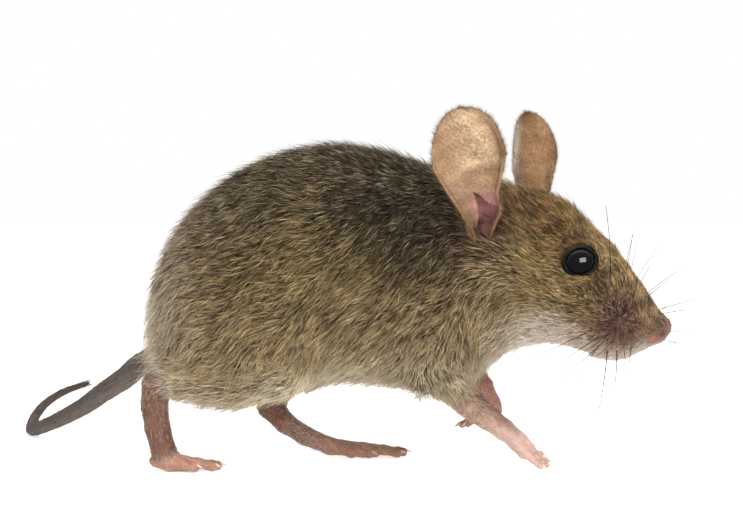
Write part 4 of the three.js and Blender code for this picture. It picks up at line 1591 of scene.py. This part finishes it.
    def body_roots(self, total: int) -> Roots:
        """Where the coat of trunk, head and legs grows.

        Args:
            total: how many tufts.
        Returns:
            The roots, the long hair of the back and the short hair of the feet together.
        """
        at, out = scatter(self.skin.points, self.skin.quads, self.density, total, self.rng)
        limb, bare = self.bareness(at)
        length, rise, width = self.sizes(at, limb, bare)
        shade, tip = self.tones(at, out, limb, bare)
        angle = self.body.station(at)[0]
        uv = np.stack([np.clip((at[:, 0] + 32) / 72, 0, 1), angle / (2 * math.pi) + 0.5], -1)
        way = self.lie(at, out)
        fit = np.zeros(len(at))
        for share in (0.3, 0.5, 0.75, 1.0):
            reach = way * (length * share)[:, None]
            fit = np.where(self.clear(at + reach * 0.5) & self.clear(at + reach), share, fit)
        roots = Roots(at, out, way, length * fit, rise, width, shade, tip, uv * 0.99 + PATCH)
        return roots.pick(fit > 0)

    @staticmethod
    def clear(p: np.ndarray) -> np.ndarray:
        """Whether points leave the eyes and the mouths of the ears free.

        Args:
            p: points in mm.
        Returns:
            True where none of them is covered.
        """
        free = np.ones(len(p), bool)
        for ear in EARS:
            free &= np.linalg.norm((p - ear.mouth()) / np.array([1.5, LOOK_DEPTH, 2.0]), axis=-1) > 1
            free &= np.linalg.norm(p - ear.pocket(), axis=-1) > 1.5
        for eye in EYES:
            free &= eye.reach(p, 2.32, 1.95) > 1
        return free

    def guard_roots(self) -> Roots:
        """Long single hairs that stand out of the coat, pale over the rump and dark on the back; their
        paleness on the rump's outline is partly painted backlight.

        Returns:
            The roots.
        """
        rng = self.rng
        roots = self.body_roots(GUARD_TUFTS * 2)
        x, height = roots.at[:, 0], self.body.station(roots.at)[1]
        limb, _ = self.bareness(roots.at)
        pad = sum(near(roots.at, SPINE.place(33.2, side * 4.3, 19.9), 3.0) for side in SIDES)
        odds = 0.25 + 0.6 * smooth(-14, -27, x) + 0.45 * smooth(0.7, 0.97, height)
        odds = (odds + 0.55 * smooth(0.25, 0.05, height)) * smooth(22, 15, x)
        odds = odds + 0.2 * smooth(15, 20, x) * smooth(34, 31, x) * smooth(0.8, 0.97, height)
        hock = near(roots.at, (-26.0, -9.6, 13.6), 3.5)
        keep = rng.random(len(x)) < odds * (1 - 0.9 * limb) + 0.35 * pad + 0.8 * hock
        roots, height, pad, hock = roots.pick(keep), height[keep], pad[keep], hock[keep]
        n, x = len(roots.at), roots.at[:, 0]
        rump, head = smooth(-18, -27, x), smooth(17, 22, x)
        roots.length *= rng.uniform(1.2, 1.9, n) * (1 - 0.1 * head + 0.8 * hock)
        roots.rise = roots.length * rng.uniform(0.25, 0.5, n) * (1 + 0.4 * head)
        roots.width = rng.uniform(0.04, 0.065, n) * (1 - 0.25 * head)
        # pale on the outline at the rump, the belly's edge and the hock: pale-tipped hair, and at the rump
        # partly painted backlight
        edge = np.maximum(np.maximum(rump, smooth(0.3, 0.1, height)), hock)
        light = (rng.random(n) < (0.4 + 0.6 * edge) * (1 - pad))[:, None]
        dim = Tint.TICK.rgb() * 1.6
        pale = mix(roots.shade * 1.7, Tint.HAIR_PALE.rgb() * 0.85, 0.12 + 0.75 * edge)
        roots.tip = np.where(light, pale, dim)
        roots.shade = np.where(light, 0.5 * (roots.shade + pale), dim)
        return roots

    def ear_roots(self, ear: Ear) -> Roots:
        """Down on both faces of an ear, with a fringe on its rim.

        Args:
            ear: which ear.
        Returns:
            The roots.
        """
        rng, n, step = self.rng, EAR_TUFTS, 0.01
        up, across = rng.uniform(0.02, 1, n) ** 0.8, rng.uniform(-1, 1, n)
        rim = rng.random(n) < 0.12
        across = np.where(rim, np.sign(across) * rng.uniform(0.96, 1.0, n), across)
        inner = rng.random(n) < 0.5
        inner &= (up > 0.3) | rim
        hollow = inner[:, None]
        at, beyond, aside = (
            np.where(hollow, ear.wall(up + i, across + j, ear.thickness), ear.wall(up + i, across + j, 0.0))
            for i, j in ((0, 0), (step, 0), (0, step))
        )
        rise = unit(beyond - at)
        out = unit(np.cross(rise, unit(aside - at)))
        facing = (out @ ear.axes()[1]) * np.where(inner, 1, -1)
        out = out * np.where(facing < 0, -1, 1)[:, None]
        flare = unit(aside - at) * across[:, None]
        way = unit(rise * 0.8 + flare * 0.6 + 0.25 * rng.normal(size=(n, 3)))
        base = np.where(hollow, Tint.EAR_IN.rgb(), Tint.EAR_OUT.rgb()) * rng.uniform(0.6, 1.3, (n, 1))
        length = rng.uniform(0.4, 0.8, n) * np.where(inner, 0.6, 1.1) * (1 + 0.8 * smooth(0.4, 0.15, up))
        uv = np.stack([(across * 0.5 + 0.5) * 0.49 + inner * 0.5, up * 0.99], -1) * 0.99
        return Roots(at, out, way, length, 0.25 * length, np.full(n, 0.045), base * 0.85, base * 1.05, uv)

    def tail_roots(self) -> Roots:
        """Short stiff hairs between the rings of the tail.

        Returns:
            The roots.
        """
        rng, n = self.rng, TAIL_TUFTS
        at, way, s, r = TAIL.line()
        i = rng.integers(12, len(s), n)
        a = rng.uniform(0, 2 * math.pi, n)[:, None]
        side = unit(np.cross(way[i], [0, 0, 1]))
        out = np.cos(a) * side + np.sin(a) * np.cross(side, way[i])
        p = at[i] + out * r[i][:, None]
        top = np.repeat(Tint.TAIL_TOP.rgb()[None], n, 0)
        shade = paint(top, Tint.TAIL_UNDER, smooth(0.2, -0.8, out[:, 2]))
        length = rng.uniform(0.7, 1.15, n)
        uv = np.stack([s[i] / s[-1], a[:, 0] / (2 * math.pi)], -1) * 0.99
        roots = Roots(p, out, way[i], length, 0.22 * length, np.full(n, 0.05), shade * 0.7, shade * 0.9, uv)
        return roots.pick(p[:, 2] > 0.15)

    def tufts(self, name: str, roots: Roots, hair: Hair) -> bpy.types.Object:
        """Grows one piece of the coat.

        Args:
            name: the piece's name.
            roots: where it grows.
            hair: what kind it is.
        Returns:
            The object.
        """
        foot, middle, end, side, tone = self.bend(roots, hair)
        n, wide = len(foot), roots.width[:, None] / 2
        corners = (side * wide, -side * wide, roots.out * wide * 1.1)
        if hair.bent:
            rows, fade = [foot, *(middle + c for c in corners), end], (0, 0.6, 0.6, 0.6, 1)
            faces = [(0, 2, 1), (0, 3, 2), (0, 1, 3), (1, 2, 4), (2, 3, 4), (3, 1, 4)]
        else:
            rows, fade = [*(foot + c for c in corners), end], (0, 0, 0, 1)
            faces = [(0, 1, 3), (1, 2, 3), (2, 0, 3)]
        k = len(rows)
        points = np.stack(rows, 1).reshape(-1, 3)
        faces = (np.array(faces)[None] + (np.arange(n) * k)[:, None, None]).reshape(-1, 3)
        # dark roots: the grey underfur's colour, deepened as painted shade deep in the coat
        under = mix(roots.shade * 0.4, Tint.UNDERFUR.rgb(), np.full(n, 0.5))
        tones = [(under if f == 0 else (roots.shade if f < 1 else roots.tip)) * tone for f in fade]
        tint = np.clip(np.stack(tones, 1).reshape(-1, 3), self.markings.darkest, 1)
        shift = np.array([[(j % 3) / 3, f] for j, f in enumerate(fade)]) * PATCH
        uv = (roots.uv[:, None] + shift[None]).reshape(-1, 2)
        made = build_object(name, points, faces, tint, self.material, uv)
        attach(made, "root")
        LOG.info("%s: %d tufts, %d faces", name, n, len(faces))
        return made

    def bend(self, roots: Roots, hair: Hair) -> tuple:
        """Lays tufts over, gathers them in locks and settles them on the skin.

        Args:
            roots: where they grow.
            hair: what kind it is.
        Returns:
            The foot, middle and end of each tuft, the way that it is wide, and how pale its lock is.
        """
        rng, n = self.rng, len(roots.at)
        side = unit(np.cross(roots.out, roots.way))
        way = unit(roots.way + side * rng.normal(size=(n, 1)) * hair.stray)
        side = unit(np.cross(roots.out, way))
        long, rise = roots.length[:, None], roots.rise[:, None]
        foot = roots.at - roots.out * 0.1
        middle = roots.at + way * long * 0.45 + roots.out * rise * 0.7
        end = roots.at + way * long + roots.out * rise
        tone = np.ones((n, 1))
        if hair.gather:
            spots = rng.choice(n, max(2, n // hair.lock), replace=False)
            lead = spots[nearest(roots.at[spots], roots.at)]
            pull = np.clip(hair.gather * rng.uniform(0.3, 1.5, (n, 1)), 0, 0.95)
            end = end + (end[lead] - end) * pull
            middle = middle + (middle[lead] - middle) * pull * 0.35
            tone = 1 + hair.mottle * rng.normal(size=(n, 1))[lead]
        if hair.settled:
            for spot, share in ((middle, 0.68), (end, 1.0)):
                gap = self.body.mould.read(spot) - roots.rise * share
                spot -= roots.out * np.clip(gap, -3, 3)[:, None]
        end[:, 2] = np.maximum(end[:, 2], 0.1)
        return foot, middle, end, side, tone

    def build(self) -> None:
        """Grows every piece of the coat."""
        roots = self.body_roots(BODY_TUFTS)
        limb, bare = self.bareness(roots.at)
        short = (limb * bare > 0.25) | (roots.at[:, 0] > 34)
        face = ~short & (roots.at[:, 0] > 20)
        body = ~short & ~face
        for group, kind, hair, parts in (("body", body, BODY_HAIR, 5), ("face", face, FACE_HAIR, 2)):
            marks = np.quantile(roots.at[kind, 0], np.linspace(0, 1, parts + 1))
            marks[-1] += 1
            for i, (a, b) in enumerate(zip(marks, marks[1:])):
                band = kind & (roots.at[:, 0] >= a) & (roots.at[:, 0] < b)
                self.tufts(f"coat_{group}_{i + 1}", roots.pick(band), hair)
        self.tufts("coat_muzzle_and_feet", roots.pick(short), SHORT_HAIR)
        self.tufts("coat_guard_hairs", self.guard_roots(), GUARD_HAIR)
        for ear in EARS:
            self.tufts(f"coat_{ear.name}", self.ear_roots(ear), EAR_HAIR)
        self.tufts("coat_tail", self.tail_roots(), TAIL_HAIR)


# ------------------------------------------------------------------ whiskers and claws
def tapered(line: np.ndarray, radius: np.ndarray, sides: int) -> Mesh:
    """A thin tube along a line.

    Args:
        line: its middle line.
        radius: its radius at each point of the line.
        sides: how many sides it has.
    Returns:
        Corners and quads.
    """
    way = unit(np.gradient(line, axis=0))
    side = unit(np.cross(way, [0.1, 0.2, 1.0]))
    up = np.cross(side, way)
    a = np.linspace(0, 2 * math.pi, sides, endpoint=False)[None, :, None]
    rings = line[:, None] + (np.cos(a) * side[:, None] + np.sin(a) * up[:, None]) * radius[:, None, None]
    return rings.reshape(-1, 3), grid_quads(len(line), sides)


def gathered(parts: list[Mesh]) -> Mesh:
    """Puts several meshes together.

    Args:
        parts: pairs of corners and faces.
    Returns:
        One pair.
    """
    starts = np.cumsum([0] + [len(points) for points, _ in parts])
    faces = np.concatenate([quads + start for (_, quads), start in zip(parts, starts)])
    return np.concatenate([points for points, _ in parts]), faces


@dataclass(frozen=True)
class Fan:
    """The whiskers of one side, from the uppermost row to the lowest.

    first and last are angles in degrees, seen from the right and up from straight ahead; crowd tells how far
    the rows between draw to the last, aside how far they lean outwards, bend how they curve.
    """

    side: int
    first: float
    last: float
    crowd: float
    aside: float
    bend: tuple
    length: float


FANS = (Fan(-1, 88, 264, 0.6, 0.72, (-0.1, 0, 0), 16.5), Fan(1, 75, 5, 1, 0.55, (0, 0, -0.1), 14))


@dataclass(frozen=True)
class Whiskers:
    """Long stiff hairs on both whisker pads, in rows and columns: the hindmost column has the longest."""

    rows: int = 5
    thick: float = 0.075
    pad: tuple = (31.6, 2.4, 21.4)
    step: float = 0.95
    shares: tuple = (0.34, 0.5, 0.74, 1.0)

    def build(self, material: bpy.types.Material) -> bpy.types.Object:
        """Grows them.

        Args:
            material: their finish.
        Returns:
            The object.
        """
        rng = np.random.default_rng(SEED + 1)
        parts, tones = [], []
        for fan in FANS:
            for row in range(self.rows):
                for ahead in reversed(range(len(self.shares))):
                    parts.append(self.whisker(fan, row, ahead, rng))
                    pale = (0.03 if fan.side < 0 else 0.1) * rng.random()
                    tone = mix(Tint.TICK.rgb() * 0.5, Tint.HAIR_PALE.rgb(), pale)
                    tones += [tone] * len(parts[-1][0])
        points, quads = gathered(parts)
        return build_object("whiskers", points, quads, np.array(tones), material)

    def whisker(self, fan: Fan, row: int, ahead: int, rng: np.random.Generator) -> Mesh:
        """Shapes one whisker.

        Args:
            fan: its side's fan.
            row: its row, from the top.
            ahead: its column, counted forwards from the hindmost.
            rng: the source of chance.
        Returns:
            Corners in mm and quads.
        """
        loose = 1 if ahead else 0
        turn = fan.first + (fan.last - fan.first) * (row / (self.rows - 1)) ** fan.crowd
        turn = math.radians(turn + rng.uniform(-16, 16) * loose)
        aside = fan.aside * (1 + rng.uniform(-0.2, 0.2) * loose)
        way = unit(np.array([math.cos(turn), fan.side * aside, math.sin(turn)]))
        x, z = self.pad[0] + self.step * ahead, self.pad[2] - self.step * row
        root = SPINE.place(x, fan.side * self.pad[1], z)
        length = fan.length * self.shares[-1 - ahead] * (1 + rng.uniform(-0.15, 0.15) * loose)
        bend = np.array(fan.bend) * (1 + rng.uniform(-1, 0.8) * loose)
        t = np.linspace(0, 1, 14)[:, None]
        thick = self.thick * rng.uniform(0.75, 1.1) * (1 - 0.68 * t)
        return tapered(root + length * (way * t + bend * t**2), thick[:, 0], 4)


def build_claws(material: bpy.types.Material) -> bpy.types.Object:
    """Curved claws on every toe.

    Args:
        material: their finish.
    Returns:
        The object.
    """
    parts = []
    for leg in LEGS:
        down = unit(np.array(leg.drop, float))
        for toe in leg.toes():
            tip, r = toe[-1][:3], toe[-1][3]
            way = unit(toe[-1][:3] - toe[-2][:3])
            way = unit(way - down * (way @ down))
            t = np.linspace(0, 1, 8)[:, None]
            reach = 1.25 if leg.hind else 1.0
            line = tip - down * r * 0.45 + way * (reach * (t + 0.05)) + down * (0.55 * r * t**2)
            line[:, 2] = np.maximum(line[:, 2], 0.06)
            parts.append(tapered(line, (0.25 * (1 - 0.9 * t))[:, 0], 8))
    points, quads = gathered(parts)
    shade = mix(Tint.SKIN_PALE.rgb()[None], Tint.HORN.rgb()[None], np.full(len(points), 0.5))
    return build_object("claws", points, quads, shade, material)


# ------------------------------------------------------------------ studio
@dataclass(frozen=True)
class Studio:
    """A pale floor, soft lamps and the camera."""

    distance: float = 378.0
    elevation: float = math.radians(2)
    aim: tuple = (0.0, 0.0, 27.2)
    lens: float = 137.4
    floor: float = 1500.0  # half its width in mm
    floor_tone: float = 0.86

    def build(self) -> None:
        """Sets up floor, light and camera."""
        half = self.floor
        corners = np.array([[-half, -half, 0], [half, -half, 0], [half, half, 0], [-half, half, 0]])
        tint = np.full((4, 3), self.floor_tone)
        floor = build_object("floor", corners, np.array([[0, 1, 2, 3]]), tint, BOARD.make())
        floor.visible_glossy = False
        self.lamp("key", (-60, -200, 420), (200, 140), 2.25).visible_glossy = False
        self.lamp("window", (132, -365, 182), (270, 230), 1.3)
        self.surround()
        bpy.context.scene.view_settings.view_transform = "Standard"
        self.camera()

    @staticmethod
    def surround() -> None:
        """Lights the room: white behind the animal, dim on the camera's side so that the eyes stay black."""
        world = bpy.data.worlds.new("studio")
        world.use_nodes = True
        tree = world.node_tree
        place = node(tree, "ShaderNodeTexCoord")
        split = node(tree, "ShaderNodeSeparateXYZ", {"Vector": place.outputs["Generated"]})
        walls = node(
            tree, "ShaderNodeMapRange",
            {"Value": split.outputs["Y"], "From Min": -0.25, "From Max": 0.15, "To Min": 0.08, "To Max": 1.0},
        )
        tree.links.new(walls.outputs["Result"], tree.nodes["Background"].inputs["Color"])
        bpy.context.scene.world = world

    def lamp(self, name: str, place: tuple, size: tuple, watts: float) -> bpy.types.Object:
        """Adds a soft rectangular lamp aimed at the animal.

        Args:
            name: its name.
            place: where it hangs, in mm.
            size: its width and height in mm.
            watts: its power.
        Returns:
            The lamp.
        """
        data = bpy.data.lights.new(name, "AREA")
        data.shape, data.size, data.size_y, data.energy = "RECTANGLE", size[0] * MM, size[1] * MM, watts
        lamp = bpy.data.objects.new(name, data)
        at, aim = row_frame(np.array([place, self.aim], float))
        lamp.location = Vector(at)
        lamp.rotation_euler = Vector(aim - at).to_track_quat("-Z", "Y").to_euler()
        bpy.context.scene.collection.objects.link(lamp)
        return lamp

    def camera(self) -> None:
        """Places the camera, level with the animal's right side."""
        data = bpy.data.cameras.new("camera")
        data.lens, data.sensor_width, data.clip_start = self.lens, 36.0, 0.01
        made = bpy.data.objects.new("camera", data)
        back = np.array([0, -math.cos(self.elevation), math.sin(self.elevation)]) * self.distance
        at, aim = row_frame(np.array([np.array(self.aim) + back, self.aim]))
        made.location = Vector(at)
        made.rotation_euler = Vector(aim - at).to_track_quat("-Z", "Y").to_euler()
        bpy.context.scene.collection.objects.link(made)
        bpy.context.scene.camera = made


def main() -> None:
    """Builds the animal and the studio, in order."""
    logging.basicConfig(level=logging.INFO, format="%(message)s")
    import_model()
    body = Body()
    markings = Markings(body)
    LOG.info("modelling the skin")
    skin = Skin(body, markings)
    hair = HAIR.make()
    whole = skin.build(SKIN.make())
    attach(whole, "root")
    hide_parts(*FLESH)
    LOG.info("growing the coat")
    Coat(body, skin, markings, hair).build()
    cornea = CORNEA.make()
    for eye in EYES:
        points, quads = eye.mesh()
        ball = build_object(f"{eye.name}_ball", points, quads, np.full((len(points), 3), EYE_BLACK), cornea)
        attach(ball, "root")
        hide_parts(eye.name)
    for piece, part in ((Whiskers().build(hair), "coat"), (build_claws(HORN.make()), "bare_skin")):
        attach(piece, "root")
    Studio().build()


if __name__ == "__main__":
    main()
